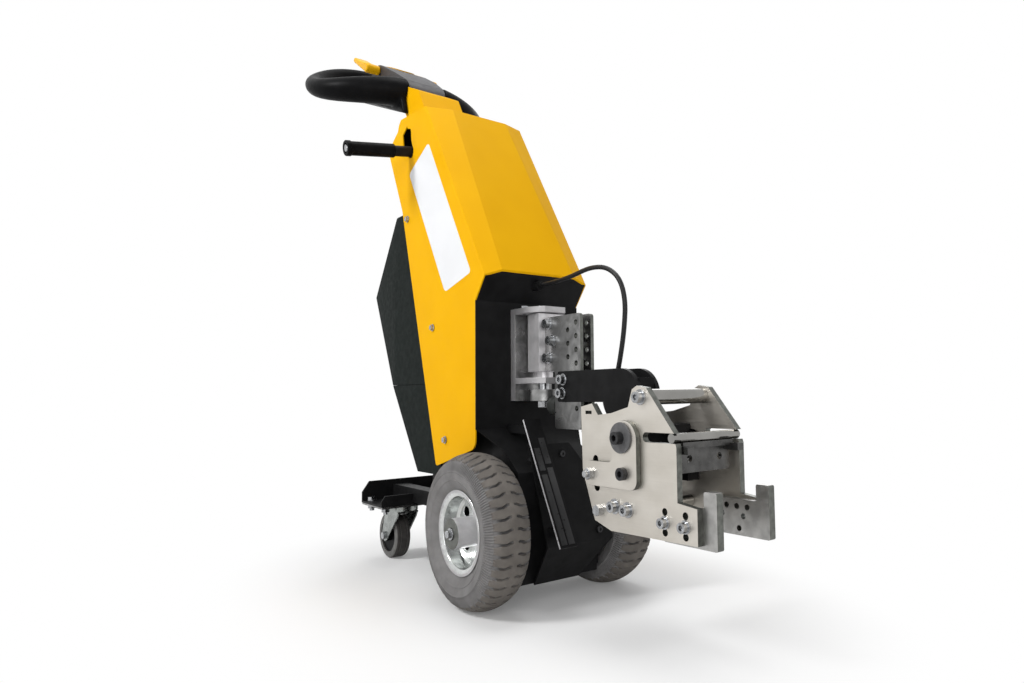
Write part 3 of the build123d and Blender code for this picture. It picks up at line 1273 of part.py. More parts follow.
def link_plate():
    sy, sz = SHAFT_POINT
    ty, tz = STUD_POINT
    lobe_rear, lobe_front, lobe_top = LINK_LOBE
    base_rear, base_low, base_top = LINK_BASE
    front, rear = sy - lobe_front, ty + base_rear
    outline = [(sy + lobe_rear, sz + lobe_top), (front, sz + lobe_top), (front, PITCH[1] - base_low),
               (rear, PITCH[1] - base_low), (rear, tz + base_top), (sy + lobe_rear, tz + base_top)]
    line = FilletPolyline(*[(LINK_INNER, y, z) for y, z in outline], radius=list(LINK_CORNERS), close=True)
    solid = extrude(make_face(line), amount=LINK_PLATE, dir=(1, 0, 0))
    for y, z in (SHAFT_POINT, PITCH):
        solid -= rod_x(y, z, LINK_SCREW_RADIUS + BOLT_FIT, 0, WIDE)
    return solid - rod_x(ty, tz, LINK_STUD_RADIUS + BOLT_FIT, 0, WIDE)


def link_screws():
    length = LINK_OUTER - CARRIER_HALF + BOLT_BITE
    seat = (LINK_OUTER + LINK_WASHER, *SHAFT_POINT)
    shaft = fastener(seat, (1, 0, 0), LINK_SCREW_RADIUS, length + LINK_WASHER, SHAFT_SCREW_CAP)
    pivot = fastener((LINK_OUTER, *PITCH), (1, 0, 0), LINK_SCREW_RADIUS, length, PIVOT_SCREW_CAP)
    return group(both_sides(shaft) + both_sides(pivot))


def link_studs():
    y, z = STUD_POINT
    length = LINK_OUTER - CARRIER_HALF + BOLT_BITE
    stud = fastener((LINK_OUTER, y, z), (1, 0, 0), LINK_STUD_RADIUS, length, STUD_NUT_CAP, True)
    stud += rod_x(y, z, LINK_STUD_RADIUS, LINK_OUTER, LINK_OUTER + STUD_PROUD)
    washer = rod_x(SHAFT_POINT[0], SHAFT_POINT[1], LINK_WASHER_RADIUS, LINK_OUTER, LINK_OUTER + LINK_WASHER)
    washer -= rod_x(SHAFT_POINT[0], SHAFT_POINT[1], LINK_SCREW_RADIUS + BOLT_FIT, 0, WIDE)
    return group(both_sides(stud) + both_sides(washer))


def pitch_slot(point, radius, sweep_angle):
    dy, dz = point[0] - PITCH[0], point[1] - PITCH[1]
    start = math.degrees(math.atan2(dz, dy)) - sweep_angle / 2
    arc = CenterArc(PITCH, math.hypot(dy, dz), start, sweep_angle)
    return extrude(Plane.YZ * SlotArc(arc, 2 * radius), amount=WIDE, dir=(1, 0, 0))


def head_plate():
    slot_half = LATCH_BAR_RADIUS + LATCH_SLOT_ROOM
    slot_top = LATCH_BAR[1] + slot_half
    mouth = [(HEAD_MOUTH_Y[0], slot_top), (HEAD_MOUTH_Y[0], LATCH_BAR[1]),
             (HEAD_MOUTH_Y[1], LATCH_BAR[1] - HEAD_MOUTH_DROP)]
    solid = plate_x([*HEAD_TOP, *mouth, *HEAD_FOOT, *HEAD_REAR], HEAD_INNER, HEAD_OUTER)
    slot = rod_x(LATCH_SLOT_REAR - slot_half, LATCH_BAR[1], slot_half, 0, WIDE)
    slot += block(0, WIDE, -WIDE, LATCH_SLOT_REAR - slot_half, LATCH_BAR[1] - slot_half, slot_top)
    solid -= slot
    solid -= pitch_slot(STUD_POINT, LINK_STUD_RADIUS + 1, STUD_SLOT_SWEEP)
    solid -= pitch_slot(SHAFT_POINT, LINK_SCREW_RADIUS + 1, SHAFT_SLOT_SWEEP)
    solid -= rod_x(PITCH[0], PITCH[1], LINK_SCREW_RADIUS + RUN_FIT, 0, WIDE)
    for y, z in (TOP_TUBE,) + LOWER_BARS:
        solid -= rod_x(y, z, BOLT_RADIUS + BOLT_FIT, 0, WIDE)
    for y, z in HOOK_BOLTS:
        solid -= rod_x(y, z, HOOK_BOLT_RADIUS + BOLT_FIT, 0, WIDE)
        for lift in HOOK_SPARE_LIFT:
            solid -= rod_x(y, z + lift, HOOK_BOLT_RADIUS + 1, 0, WIDE)
    return solid - block(0, WIDE, *HEAD_NOTCH)


def cross_bars():
    solids = []
    for point, radius in [(TOP_TUBE, TOP_TUBE_RADIUS)] + [(bar, LOWER_BAR_RADIUS) for bar in LOWER_BARS]:
        bar = rod_x(point[0], point[1], radius, -HEAD_INNER, HEAD_INNER)
        solids.append(bar - rod_x(point[0], point[1], BOLT_RADIUS, -WIDE, WIDE))
    return group(solids)


def head_bolts():
    solids = []
    for index, (y, z) in enumerate((TOP_TUBE,) + LOWER_BARS):
        plain = index == 1
        cap = HEAD_NUT_CAP if plain else HEAD_BOLT_CAP
        bolt = fastener((HEAD_OUTER, y, z), (1, 0, 0), BOLT_RADIUS, HEAD_PLATE + BOLT_BITE, cap, plain)
        solids += both_sides(bolt)
    length = HEAD_PLATE + HOOK_PLATE - HOOK_BOLT_RADIUS
    for y, z in HOOK_BOLTS:
        bolt = fastener((HEAD_OUTER, y, z), (1, 0, 0), HOOK_BOLT_RADIUS, length, HOOK_BOLT_CAP)
        solids += both_sides(bolt)
    return group(solids)


def hook():
    ty, tz = HOOK_TIP
    by, bz = HOOK_BASE
    rear = ty + HOOK_PRONG
    outline = [(by, bz), (by, HOOK_LEDGE), (rear, HOOK_LEDGE), (rear, tz), (ty, tz), (ty, bz)]
    solid = rounded_plate_x(outline, HOOK_CORNER, HEAD_INNER - HOOK_PLATE, HEAD_INNER)
    for y, z in HOOK_HOLES + HOOK_BOLTS:
        solid -= rod_x(y, z, HOOK_BOLT_RADIUS + BOLT_FIT, 0, WIDE)
    return solid


def actuator():
    y0, y1 = ACTUATOR_Y
    solid = rod_y(0, ACTUATOR_Z, ACTUATOR_RADIUS, y0, y1)
    front, rear = LOWER_BARS[2], LOWER_BARS[1]
    start, end = front[0] - SADDLE_MARGIN, rear[0] + SADDLE_MARGIN
    saddle = block(-SADDLE_HALF, SADDLE_HALF, start, end, front[1], ACTUATOR_Z)
    for y, z in LOWER_BARS:
        saddle -= rod_x(y, z, LOWER_BAR_RADIUS, -WIDE, WIDE)
    solid += saddle
    return solid - rod_y(0, ACTUATOR_Z, ROD_RADIUS + RUN_FIT, y0 - ACTUATOR_END, y1 - ACTUATOR_END)


def actuator_rod():
    return rod_y(0, ACTUATOR_Z, ROD_RADIUS, LATCH_FLANGE[1], ACTUATOR_Y[0] + ROD_DEPTH)


def latch():
    bar_y, bar_z = LATCH_BAR
    half = LATCH_HALF
    top = bar_z - LATCH_BAR_RADIUS + LATCH_SLOT_ROOM
    bar_end = HEAD_OUTER - LATCH_BAR_INSET
    width, ahead, behind = LATCH_PRONG
    solid = block(-half, half, LATCH_Y[0], LATCH_Y[1], top - LATCH_PLATE, top)
    solid += rod_x(bar_y, bar_z, LATCH_BAR_RADIUS, -bar_end, bar_end)
    solid += block(-half, half, LATCH_FLANGE[0], LATCH_FLANGE[1], ACTUATOR_Z - LATCH_TAIL, top)
    front, rear = LATCH_Y[0] - ahead, LATCH_Y[0] + behind
    prong = block(half - width, half + width, front, rear, top - LATCH_PRONG_Z[0], top - LATCH_PRONG_Z[1])
    solid = fuse([solid] + both_sides(prong))
    for side in (-1, 1):
        solid -= rod_y(side * half * 0.6, ACTUATOR_Z + LATCH_HOLE_RISE, LATCH_HOLE_RADIUS, -WIDE, WIDE)
    return solid


# Cable
def cable():
    points = [Vector(0, y, z) for y, z in CABLE_ROUTE]
    radii = []
    for before, here, after in zip(points, points[1:], points[2:]):
        turn = (here - before).get_angle(after - here)
        short = min((here - before).length, (after - here).length)
        radii.append(0.45 * short / math.tan(math.radians(turn / 2)))
    print("cable radii", [round(radius) for radius in radii])
    path = FilletPolyline(*points, radius=radii)
    tube = sweep(Plane(origin=path @ 0, z_dir=path % 0) * Circle(CABLE_RADIUS), path=path)
    section = math.pi * CABLE_RADIUS ** 2
    print("cable length", round(path.length), "volume ratio", tube.volume / (section * path.length))
    return tube


SIDED = (tyre, rim, axle_shaft)
CASTOR = (castor_fork, castor_axle, castor_core, castor_tread)
PAIRED = {"arms": arm, "link_plates": link_plate, "head_plates": head_plate, "hooks": hook}
SINGLE = (
    base_frame, upright_frame, transaxle, drive_motor, batteries, controller, cowl, front_panel, front_guard,
    panel_gland, kick_bar, bar_strips, rear_housing, rear_cover, rear_grab, back_panel, castor_tray,
    castor_plates, neck, console, belly_button, head_shell, loop_handle, thumb_rocker, side_lever, lever_grip,
    hitch_bracket, swivel_pin, swivel_block, mast_bolts, buffer, carrier, link_screws, link_studs, cross_bars,
    head_bolts, actuator, actuator_rod, latch, cable, body_fasteners)


def main():
    os.makedirs("parts", exist_ok=True)
    for maker in SIDED:
        right, left = both_sides(maker())
        save(maker.__name__ + "_right", right)
        save(maker.__name__ + "_left", left)
    for maker in CASTOR:
        save(maker.__name__ + "_right", maker(CASTOR_X))
        save(maker.__name__ + "_left", maker(-CASTOR_X))
    for name, maker in PAIRED.items():
        save(name, group(both_sides(maker())))
    save("mast_plates", group(both_sides(mast_plate()) + [mast_spacer()]))
    for maker in SINGLE:
        save(maker.__name__, maker())


main()
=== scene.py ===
import json
import math

import bmesh
import bpy
from bpy.props import FloatProperty, FloatVectorProperty, IntProperty, PointerProperty
from mathutils import Matrix, Vector
from mathutils.bvhtree import BVHTree

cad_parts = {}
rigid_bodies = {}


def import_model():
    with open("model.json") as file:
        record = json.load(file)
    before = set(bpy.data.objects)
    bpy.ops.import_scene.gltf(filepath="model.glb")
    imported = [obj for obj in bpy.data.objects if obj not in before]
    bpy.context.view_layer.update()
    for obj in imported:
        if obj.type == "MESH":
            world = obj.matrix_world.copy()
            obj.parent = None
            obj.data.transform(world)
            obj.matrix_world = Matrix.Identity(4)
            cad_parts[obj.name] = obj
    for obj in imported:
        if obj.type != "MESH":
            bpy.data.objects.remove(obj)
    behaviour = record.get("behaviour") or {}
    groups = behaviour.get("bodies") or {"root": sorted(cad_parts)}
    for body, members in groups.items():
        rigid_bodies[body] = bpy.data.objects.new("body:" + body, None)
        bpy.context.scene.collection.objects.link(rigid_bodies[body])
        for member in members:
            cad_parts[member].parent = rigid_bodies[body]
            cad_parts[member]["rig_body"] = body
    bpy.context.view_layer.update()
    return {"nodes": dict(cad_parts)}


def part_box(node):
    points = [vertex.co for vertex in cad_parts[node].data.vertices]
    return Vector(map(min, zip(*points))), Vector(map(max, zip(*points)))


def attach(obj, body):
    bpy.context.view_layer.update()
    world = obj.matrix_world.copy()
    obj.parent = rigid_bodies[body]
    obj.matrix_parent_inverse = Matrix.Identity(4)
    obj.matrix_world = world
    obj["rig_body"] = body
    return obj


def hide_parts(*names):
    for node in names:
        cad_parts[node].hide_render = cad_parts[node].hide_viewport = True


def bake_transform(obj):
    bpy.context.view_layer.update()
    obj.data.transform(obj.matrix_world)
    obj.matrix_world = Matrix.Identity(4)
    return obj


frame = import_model()

bl_info = {
    "name": "Powered Load Mover",
    "version": (1, 0, 0),
    "blender": (4, 5, 0),
    "location": "3D View > Sidebar > Load Mover",
    "description": "Dresses the load mover's frame with finishes, tyres, labels, cable and studio",
    "category": "Object",
}

SIDES = (("left", -1), ("right", 1))

# Points closer than this are joined: in a frame part's copy, after a bevel, between tyre lugs
PART_MERGE = 1e-5
BEVEL_MERGE = 2e-6
LUG_MERGE = 3e-5

# Angles between faces, in degrees: still flat, a fold in a sheet, a cut edge of a folded sheet
FLAT_ANGLE = 0.5
FOLD_ANGLES = (12.0, 78.0)
CUT_ANGLES = (80.0, 180.0)
FOLD_SEGMENTS = 4

# The part of its normal along an axis that a face needs, to count as facing that way
FACING = 0.5
FACING_WELL = 0.7
FACING_FULLY = 0.9

# The cable's route in its plane, (y, z) in metres, from the panel gland to the carrier's gland
CABLE_ROUTE = ((-0.014, 0.556), (-0.052, 0.556), (-0.104, 0.560), (-0.152, 0.568), (-0.197, 0.563),
               (-0.230, 0.540), (-0.243, 0.503), (-0.239, 0.459), (-0.229, 0.415), (-0.216, 0.374),
               (-0.216, 0.332))

# The label on each side of the cowl, corners as (y, z) in metres
LABEL_CORNERS = ((0.224, 0.865), (0.314, 0.822), (0.151, 0.553), (0.050, 0.578))

# The console's accent strip: its reach as a share of the console's half width, its bend and its
# ends as distances behind the console's front, its depth in the console and its height above it
ACCENT_STEPS = 48
ACCENT_REACH = 0.76
ACCENT_FRONT = 0.138
ACCENT_REAR = 0.188
ACCENT_SUNK = 0.001
ACCENT_PROUD = 0.0022

# The grip's end as insets, (thickness, depth) in metres: down to the screw, then the screw's head
GRIP_END = ((0.004, 0.0), (0.0008, -0.0022), (0.0016, 0.0))
GRIP_SCREW = (0.0008, 0.0018)

# Kept between the swelling paddles and the console
CLEARANCE = 0.0003
# Height of the bracket's lower lug, below which faces that don't face up get painted shade
LOWER_LUG = 0.030
# Height of the latch's polished roller bar
LATCH_BAR = 0.013
# The kick bar's sheet, measured back from its front face
BAR_SHEET = 0.0042
# The guard's edges that get a painted highlight, by their normals: at most this far to the front,
# at least this far right
HIGHLIGHT_FRONT = 0.35
HIGHLIGHT_RIGHT = 0.2
# The share of the guard's half width within which the screws are black
GUARD_INNER = 0.9
# The hub's radius, how far it stands out from the rim's lip, how near a face lies to either, and
# how far the lip's faces must turn outward
HUB_RADIUS = 0.026
HUB_PROUD = 0.013
HUB_NEAR = 0.001
LIP_FACING = 0.8

# The drive tyre's section, as shares of its half width (across) and of its outer radius (out)
TYRE_ACROSS = 0.976
BEAD_ACROSS = 0.725
SEAT_OUT = 0.477
FLANGE_OUT = 0.545
BULGE_OUT = 0.738
SHOULDER_ACROSS = 0.80
SHOULDER_OUT = 0.925
RINGS_OUT = (0.665, 0.78)
CROWN_STEPS = 40
# The side wall's steps, the finer ones that place its rings, and half a ring as a share of the wall
WALL_STEPS = 20
RING_PLACES = 400
RING_HALF = 0.012

# The slits. Spans are shares of the way from the middle rib to the shoulder, and widths are shares
# of a lug: how a slit steps sideways and leans, its half width, flare and flanks, and how shallow
# it gets towards the shoulder
SLIT_STEP = 0.17
SLIT_STEP_SPAN = (0.1, 0.42)
SLIT_LEAN = 0.02
SLIT_HALF = 0.07
SLIT_FLARE = 0.09
SLIT_FLARE_SPAN = (0.55, 1.05)
SLIT_FLANK = 0.042
RUN_OUT = 0.62
RUN_OUT_SPAN = (0.38, 0.85)
# The middle rib's flank in metres, and the fine ribs' flanks as a cosine
MIDDLE_FLANK = 0.002
FINE_FLANK = 0.3
# Depths below the crown in metres: where slits begin, the fine ribs' foot and top, the tread's edge
SLIT_DEPTHS = (0.0135, 0.0095)
FINE_FOOT = (0.032, 0.026)
FINE_TOP = (0.0120, 0.0090)
TREAD_EDGE = 0.011
# A face pressed in by more than this share of the groove's depth is the slit's, not the tread's
SLIT_SHARE = 0.12

# Lamps: name, place and target in metres, size in metres, power in watts
LAMPS = (
    ("key", (-2.4, 0.6, 2.4), (0.0, 0.1, 0.5), 0.8, 51.0),
    ("fill", (-2.0, -2.7, 1.5), (0.0, -0.1, 0.5), 2.4, 36.0),
    ("top", (0.3, 0.1, 3.2), (0.0, 0.1, 0.5), 1.6, 28.0),
    ("side", (2.2, 2.0, 1.6), (0.0, 0.1, 0.6), 2.0, 20.0),
)
# The world's strength as light; where it is seen it is 1, which is white
WORLD_LIGHT = 0.34
# The floor: half its side, its own glow, and the oval in which its shadow fades to white
FLOOR_HALF = 30.0
FLOOR_GLOW = 0.12
OVAL_SHIFT = (0.0, -0.085, 0.0)
OVAL_SCALE = (1.3, 0.85, 1.0)
OVAL_FADE = (0.3, 0.68)

# The camera, as fitted to the photograph's frame of 1024 by 683
CAMERA_PLACE = (-0.7340, -1.0842, 0.3587)
CAMERA_HEADING = -40.12
CAMERA_TILT = -4.05
CAMERA_ROLL = -0.87
CAMERA_LENS = 25.04
CAMERA_SHIFT = -0.0996


class PaintSettings(bpy.types.PropertyGroup):
    """Colours of the painted and moulded parts"""
    yellow: FloatVectorProperty(
        name="Yellow", description="Powder coat of the cowl and neck", subtype="COLOR",
        size=3, min=0, max=1, default=(0.88, 0.462, 0.003))
    yellow_shade: FloatVectorProperty(
        name="Yellow shade", description="Darker flecks in the yellow coat", subtype="COLOR",
        size=3, min=0, max=1, default=(0.85, 0.436, 0.0026))
    black: FloatVectorProperty(
        name="Black", description="Powder coat of the frame and arms", subtype="COLOR",
        size=3, min=0, max=1, default=(0.0092, 0.0092, 0.0096))
    cover: FloatVectorProperty(
        name="Cover", description="Green black coat of the rear covers", subtype="COLOR",
        size=3, min=0, max=1, default=(0.0082, 0.0112, 0.0102))
    console: FloatVectorProperty(
        name="Console", description="Moulded grey of the tiller's top", subtype="COLOR",
        size=3, min=0, max=1, default=(0.040, 0.039, 0.043))
    tyre: FloatVectorProperty(
        name="Tyre", description="Grey rubber of the drive tyres", subtype="COLOR",
        size=3, min=0, max=1, default=(0.195, 0.190, 0.189))
    tread: FloatVectorProperty(
        name="Tread", description="Browner rubber of the tread", subtype="COLOR",
        size=3, min=0, max=1, default=(0.155, 0.142, 0.129))
    label: FloatVectorProperty(
        name="Label", description="Blank label on the cowl", subtype="COLOR",
        size=3, min=0, max=1, default=(0.83, 0.84, 0.86))


class TreadSettings(bpy.types.PropertyGroup):
    """Tread pattern of the drive tyres"""
    lugs: IntProperty(
        name="Lugs", description="Tread blocks round the tyre", default=42, min=12, max=80)
    steps: IntProperty(
        name="Steps", description="Mesh steps for each tread block", default=24, min=6, max=30)
    groove_depth: FloatProperty(
        name="Groove depth", description="Depth of the cross slits",
        unit="LENGTH", default=0.0095)
    rib_half: FloatProperty(
        name="Rib", description="Half width of the plain rib in the middle",
        unit="LENGTH", default=0.0045)
    rib_depth: FloatProperty(
        name="Shoulder ribs", description="Height of the fine shoulder ribs",
        unit="LENGTH", default=0.0016)
    rib_count: IntProperty(
        name="Rib count", description="Fine shoulder ribs for each tread block",
        default=4, min=1, max=8)
    ring_depth: FloatProperty(
        name="Rings", description="Height of the rings on the side wall",
        unit="LENGTH", default=0.0008)


class FinishSettings(bpy.types.PropertyGroup):
    """Edges and small trim"""
    sheet_edge: FloatProperty(
        name="Sheet edge", description="Rounding of cut sheet edges",
        unit="LENGTH", default=0.0007)
    fold: FloatProperty(
        name="Fold", description="Rounding of the cowl's folds",
        unit="LENGTH", default=0.005)
    plate_edge: FloatProperty(
        name="Plate edge", description="Rounding of thick plate edges",
        unit="LENGTH", default=0.0008)
    voxel: FloatProperty(
        name="Grain", description="Mesh size of the moulded tiller",
        unit="LENGTH", default=0.0028)
    accent_width: FloatProperty(
        name="Accent", description="Width of the yellow strip on the console",
        unit="LENGTH", default=0.005)
    paddle_swell: FloatProperty(
        name="Paddles", description="How far the moulded thumb paddles swell",
        unit="LENGTH", default=0.0016)
    moulding: FloatProperty(
        name="Moulding", description="Rounding of the moulded tiller parts",
        unit="LENGTH", default=0.007)
    label_thickness: FloatProperty(
        name="Label thickness", description="How far the label stands off the cowl",
        unit="LENGTH", default=0.0003)
    label_corner: FloatProperty(
        name="Label corner", description="Corner radius of the label",
        unit="LENGTH", default=0.009)
    cable_diameter: FloatProperty(
        name="Cable", description="Diameter of the cable",
        unit="LENGTH", default=0.008)


# Pieces
def body_of(node):
    return frame["nodes"][node]["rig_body"]


def add_piece(name, bm, materials, body, stands_for=(), smooth_angle=35.0):
    """Makes an object of the bmesh, smooth up to an angle, and lets it ride on a body."""
    for face in bm.faces:
        face.smooth = True
    limit = math.radians(smooth_angle)
    for edge in bm.edges:
        edge.smooth = len(edge.link_faces) == 2 and edge.calc_face_angle(0) < limit
    mesh = bpy.data.meshes.new(name)
    bm.to_mesh(mesh)
    bm.free()
    piece = bpy.data.objects.new(name, mesh)
    bpy.context.scene.collection.objects.link(piece)
    for material in materials:
        mesh.materials.append(material)
    if stands_for:
        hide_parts(*stands_for)
    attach(piece, body)
    return piece


def even_shading(piece):
    """Lets large flat faces set the shading along their edges."""
    normals = piece.modifiers.new("even_shading", "WEIGHTED_NORMAL")
    normals.mode = "FACE_AREA"
    normals.weight = 100
    normals.keep_sharp = True


def second_finish(piece, material, chosen):
    """Gives the faces for which chosen is true another material."""
    piece.data.materials.append(material)
    index = len(piece.data.materials) - 1
    for face in piece.data.polygons:
        if chosen(face):
            face.material_index = index


def merged_copy(node):
    """A bmesh of a frame part with its loose triangles joined and its flat faces made whole."""
    bm = bmesh.new()
    bm.from_mesh(frame["nodes"][node].data)
    bmesh.ops.remove_doubles(bm, verts=bm.verts, dist=PART_MERGE)
    bmesh.ops.dissolve_limit(bm, angle_limit=math.radians(FLAT_ANGLE), verts=bm.verts,
                             edges=bm.edges)
    return bm


def largest_face(bm, chosen):
    """The largest of the faces for which chosen is true."""
    return max(filter(chosen, bm.faces), key=lambda face: face.calc_area())


def round_edges(bm, width, low=35.0, high=180.0, segments=2):
    """Bevels the outer edges whose faces meet at an angle between low and high."""
    edges = []
    for edge in bm.edges:
        if len(edge.link_faces) == 2 and edge.is_convex:
            if low <= math.degrees(edge.calc_face_angle(0)) <= high:
                edges.append(edge)
    bmesh.ops.bevel(bm, geom=edges, offset=width, offset_type="OFFSET", segments=segments,
                    profile=0.5, affect="EDGES", clamp_overlap=True, material=-1)
    bmesh.ops.remove_doubles(bm, verts=bm.verts, dist=BEVEL_MERGE)


def add_finish(node, bm, *materials):
    """Puts the bmesh in the place of a frame part."""
    piece = add_piece(node + "_finish", bm, materials, body_of(node), (node,))
    even_shading(piece)
    return piece


def finish_node(node, material, width, fold=0.0, segments=2):
    """Puts a copy with rounded edges in the place of a frame part."""
    bm = merged_copy(node)
    if fold:
        round_edges(bm, fold, *FOLD_ANGLES, FOLD_SEGMENTS)
        round_edges(bm, width, *CUT_ANGLES, segments)
    else:
        round_edges(bm, width, segments=segments)
    return add_finish(node, bm, material)


def moulded(name, nodes, material, voxel, rounds, swell=0.0):
    """One smooth moulding in the place of frame parts. It may swell, but not to the middle."""
    bm = bmesh.new()
    for node in nodes:
        bm.from_mesh(frame["nodes"][node].data)
    bmesh.ops.remove_doubles(bm, verts=bm.verts, dist=PART_MERGE)
    if swell:
        inner = min(abs(vert.co.x) for vert in bm.verts)
        for vert in bm.verts:
            if abs(vert.co.x) < inner + CLEARANCE:
                vert.co.x += math.copysign(swell + CLEARANCE, vert.co.x)
    piece = add_piece(name, bm, [material], body_of(nodes[0]), nodes,
                      smooth_angle=180.0)
    skin = piece.modifiers.new("skin", "REMESH")
    skin.mode = "VOXEL"
    skin.voxel_size = voxel
    skin.use_smooth_shade = True
    soft = piece.modifiers.new("soft", "SMOOTH")
    soft.factor = 0.5
    soft.iterations = rounds
    if swell:
        full = piece.modifiers.new("full", "DISPLACE")
        full.strength = swell
        full.mid_level = 0.0


def paint_node(node, material):
    """Gives a frame part that keeps its own shape a finish."""
    slots = frame["nodes"][node].data.materials
    slots.clear()
    slots.append(material)


def accent_strip(console):
    """A thin yellow strip laid on the console's crest, round its front."""
    skin = BVHTree.FromObject(console, bpy.context.evaluated_depsgraph_get())
    low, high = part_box("console")
    half = bpy.context.scene.mover_finish.accent_width / 2
    reach, front, rear = high.x * ACCENT_REACH, low.y + ACCENT_FRONT, low.y + ACCENT_REAR
    over, down = high.z + 0.1, Vector((0, 0, -1))
    bm = bmesh.new()
    rings = []
    for step in range(ACCENT_STEPS + 1):
        turn = math.pi * step / ACCENT_STEPS
        across, along = -math.cos(turn), math.sin(turn)
        row = []
        for side in (-half, half):
            start = Vector(((reach + side) * across, rear - (rear - front + side) * along, over))
            spot, normal = skin.ray_cast(start, down)[:2]
            if spot is None:
                raise RuntimeError("the accent strip misses the console")
            row.append((spot - normal * ACCENT_SUNK, spot + normal * ACCENT_PROUD))
        points = (row[0][0], row[0][1], row[1][1], row[1][0])
        rings.append([bm.verts.new(point) for point in points])
    for ring, following in zip(rings, rings[1:]):
        for index in range(4):
            bm.faces.new((ring[index], ring[index - 1], following[index - 1], following[index]))
    bm.faces.new(rings[0])
    bm.faces.new(rings[-1])
    bmesh.ops.recalc_face_normals(bm, faces=bm.faces)
    add_piece("accent_strip", bm, [yellow_moulding()], body_of("console"))


# Finishes
def paint():
    return bpy.context.scene.mover_paint


def new_material(name, color, roughness, metallic=0.0, gloss=0.5):
    """A material and its shader, or no shader where the material is there already."""
    found = bpy.data.materials.get(name)
    if found:
        return found, None
    material = bpy.data.materials.new(name)
    material.use_nodes = True
    shader = material.node_tree.nodes["Principled BSDF"]
    shader.inputs["Base Color"].default_value = (*color, 1.0)
    shader.inputs["Roughness"].default_value = roughness
    shader.inputs["Metallic"].default_value = metallic
    shader.inputs["Specular IOR Level"].default_value = gloss
    return material, shader


def add_noise(material, scale, detail=3.0, stretch=(1.0, 1.0, 1.0), distortion=0.0):
    """A noise in the piece's own space, in cycles to the metre, stretched along its axes."""
    nodes, links = material.node_tree.nodes, material.node_tree.links
    place = nodes.new("ShaderNodeTexCoord")
    mapping = nodes.new("ShaderNodeMapping")
    mapping.inputs["Scale"].default_value = stretch
    noise = nodes.new("ShaderNodeTexNoise")
    noise.inputs["Scale"].default_value = scale
    noise.inputs["Detail"].default_value = detail
    noise.inputs["Distortion"].default_value = distortion
    links.new(place.outputs["Object"], mapping.inputs["Vector"])
    links.new(mapping.outputs["Vector"], noise.inputs["Vector"])
    return noise.outputs["Fac"]


def drive_color(material, shader, value, dark, light, low=0.35, high=0.65):
    ramp = material.node_tree.nodes.new("ShaderNodeValToRGB")
    ramp.color_ramp.elements[0].position = low
    ramp.color_ramp.elements[0].color = (*dark, 1.0)
    ramp.color_ramp.elements[1].position = high
    ramp.color_ramp.elements[1].color = (*light, 1.0)
    material.node_tree.links.new(value, ramp.inputs["Fac"])
    material.node_tree.links.new(ramp.outputs["Color"], shader.inputs["Base Color"])


def drive_roughness(material, shader, value, low, high):
    span = material.node_tree.nodes.new("ShaderNodeMapRange")
    span.inputs["From Min"].default_value = 0.3
    span.inputs["From Max"].default_value = 0.7
    span.inputs["To Min"].default_value = low
    span.inputs["To Max"].default_value = high
    material.node_tree.links.new(value, span.inputs["Value"])
    material.node_tree.links.new(span.outputs["Result"], shader.inputs["Roughness"])


def drive_bump(material, shader, value, distance, strength):
    bump = material.node_tree.nodes.new("ShaderNodeBump")
    bump.inputs["Distance"].default_value = distance
    bump.inputs["Strength"].default_value = strength
    material.node_tree.links.new(value, bump.inputs["Height"])
    material.node_tree.links.new(bump.outputs["Normal"], shader.inputs["Normal"])


def shade(color, factor):
    return tuple(min(1.0, channel * factor) for channel in color)


def finish_of(name, color, roughness, spread, grain, depth, metallic=0.0, gloss=0.5, patch=40.0):
    """A finish that varies a little: colour in patches, roughness in finer ones, and a grain."""
    low, high = roughness
    material, shader = new_material(name, color, (low + high) / 2, metallic, gloss)
    if shader:
        patches = add_noise(material, patch, detail=4.0)
        drive_color(material, shader, patches, shade(color, 1 - spread), shade(color, 1 + spread))
        drive_roughness(material, shader, add_noise(material, patch * 2.5), low, high)
        drive_bump(material, shader, add_noise(material, grain, detail=2.0), depth, 0.5)
    return material


def yellow_coat():
    material, shader = new_material("yellow_coat", paint().yellow, 0.47, gloss=0.035)
    if shader:
        flecks = add_noise(material, 9.0, detail=2.0)
        drive_color(material, shader, flecks, paint().yellow_shade, paint().yellow)
        drive_roughness(material, shader, add_noise(material, 60.0), 0.43, 0.51)
        drive_bump(material, shader, add_noise(material, 900.0, detail=2.0), 0.00003, 0.4)
    return material


def label_film():
    material, shader = new_material("label_film", paint().label, 0.36, gloss=0.12)
    if shader:
        drive_color(material, shader, add_noise(material, 12.0), shade(paint().label, 0.98),
                    shade(paint().label, 1.01))
        drive_roughness(material, shader, add_noise(material, 60.0), 0.28, 0.38)
        drive_bump(material, shader, add_noise(material, 800.0, detail=2.0), 0.00001, 0.3)
    return material


def yellow_moulding():
    return finish_of("yellow_moulding", paint().yellow, (0.3, 0.38),
                     spread=0.04, grain=2200.0, depth=0.00002, gloss=0.12)


def black_coat():
    return finish_of("black_coat", paint().black, (0.38, 0.52),
                     spread=0.22, grain=1100.0, depth=0.00006, gloss=0.08)


def cover_coat():
    return finish_of("cover_coat", paint().cover, (0.48, 0.62),
                     spread=0.1, grain=1300.0, depth=0.00005, gloss=0.04)


# A paler black laid on edges as a painted highlight
def painted_edge_highlight():
    return finish_of("painted_edge_highlight", (0.085, 0.085, 0.082), (0.4, 0.55),
                     spread=0.2, grain=1200.0, depth=0.00003, gloss=0.3, patch=90.0)


def black_moulding():
    return finish_of("black_moulding", (0.0055, 0.0055, 0.006), (0.34, 0.46),
                     spread=0.2, grain=2600.0, depth=0.00003, gloss=0.036)


def grey_moulding():
    return finish_of("grey_moulding", paint().console, (0.4, 0.52),
                     spread=0.12, grain=1900.0, depth=0.00005, gloss=0.3)


def strip_gloss():
    return finish_of("strip_gloss", (0.024, 0.024, 0.025), (0.26, 0.36),
                     spread=0.12, grain=1500.0, depth=0.00001, gloss=0.4)


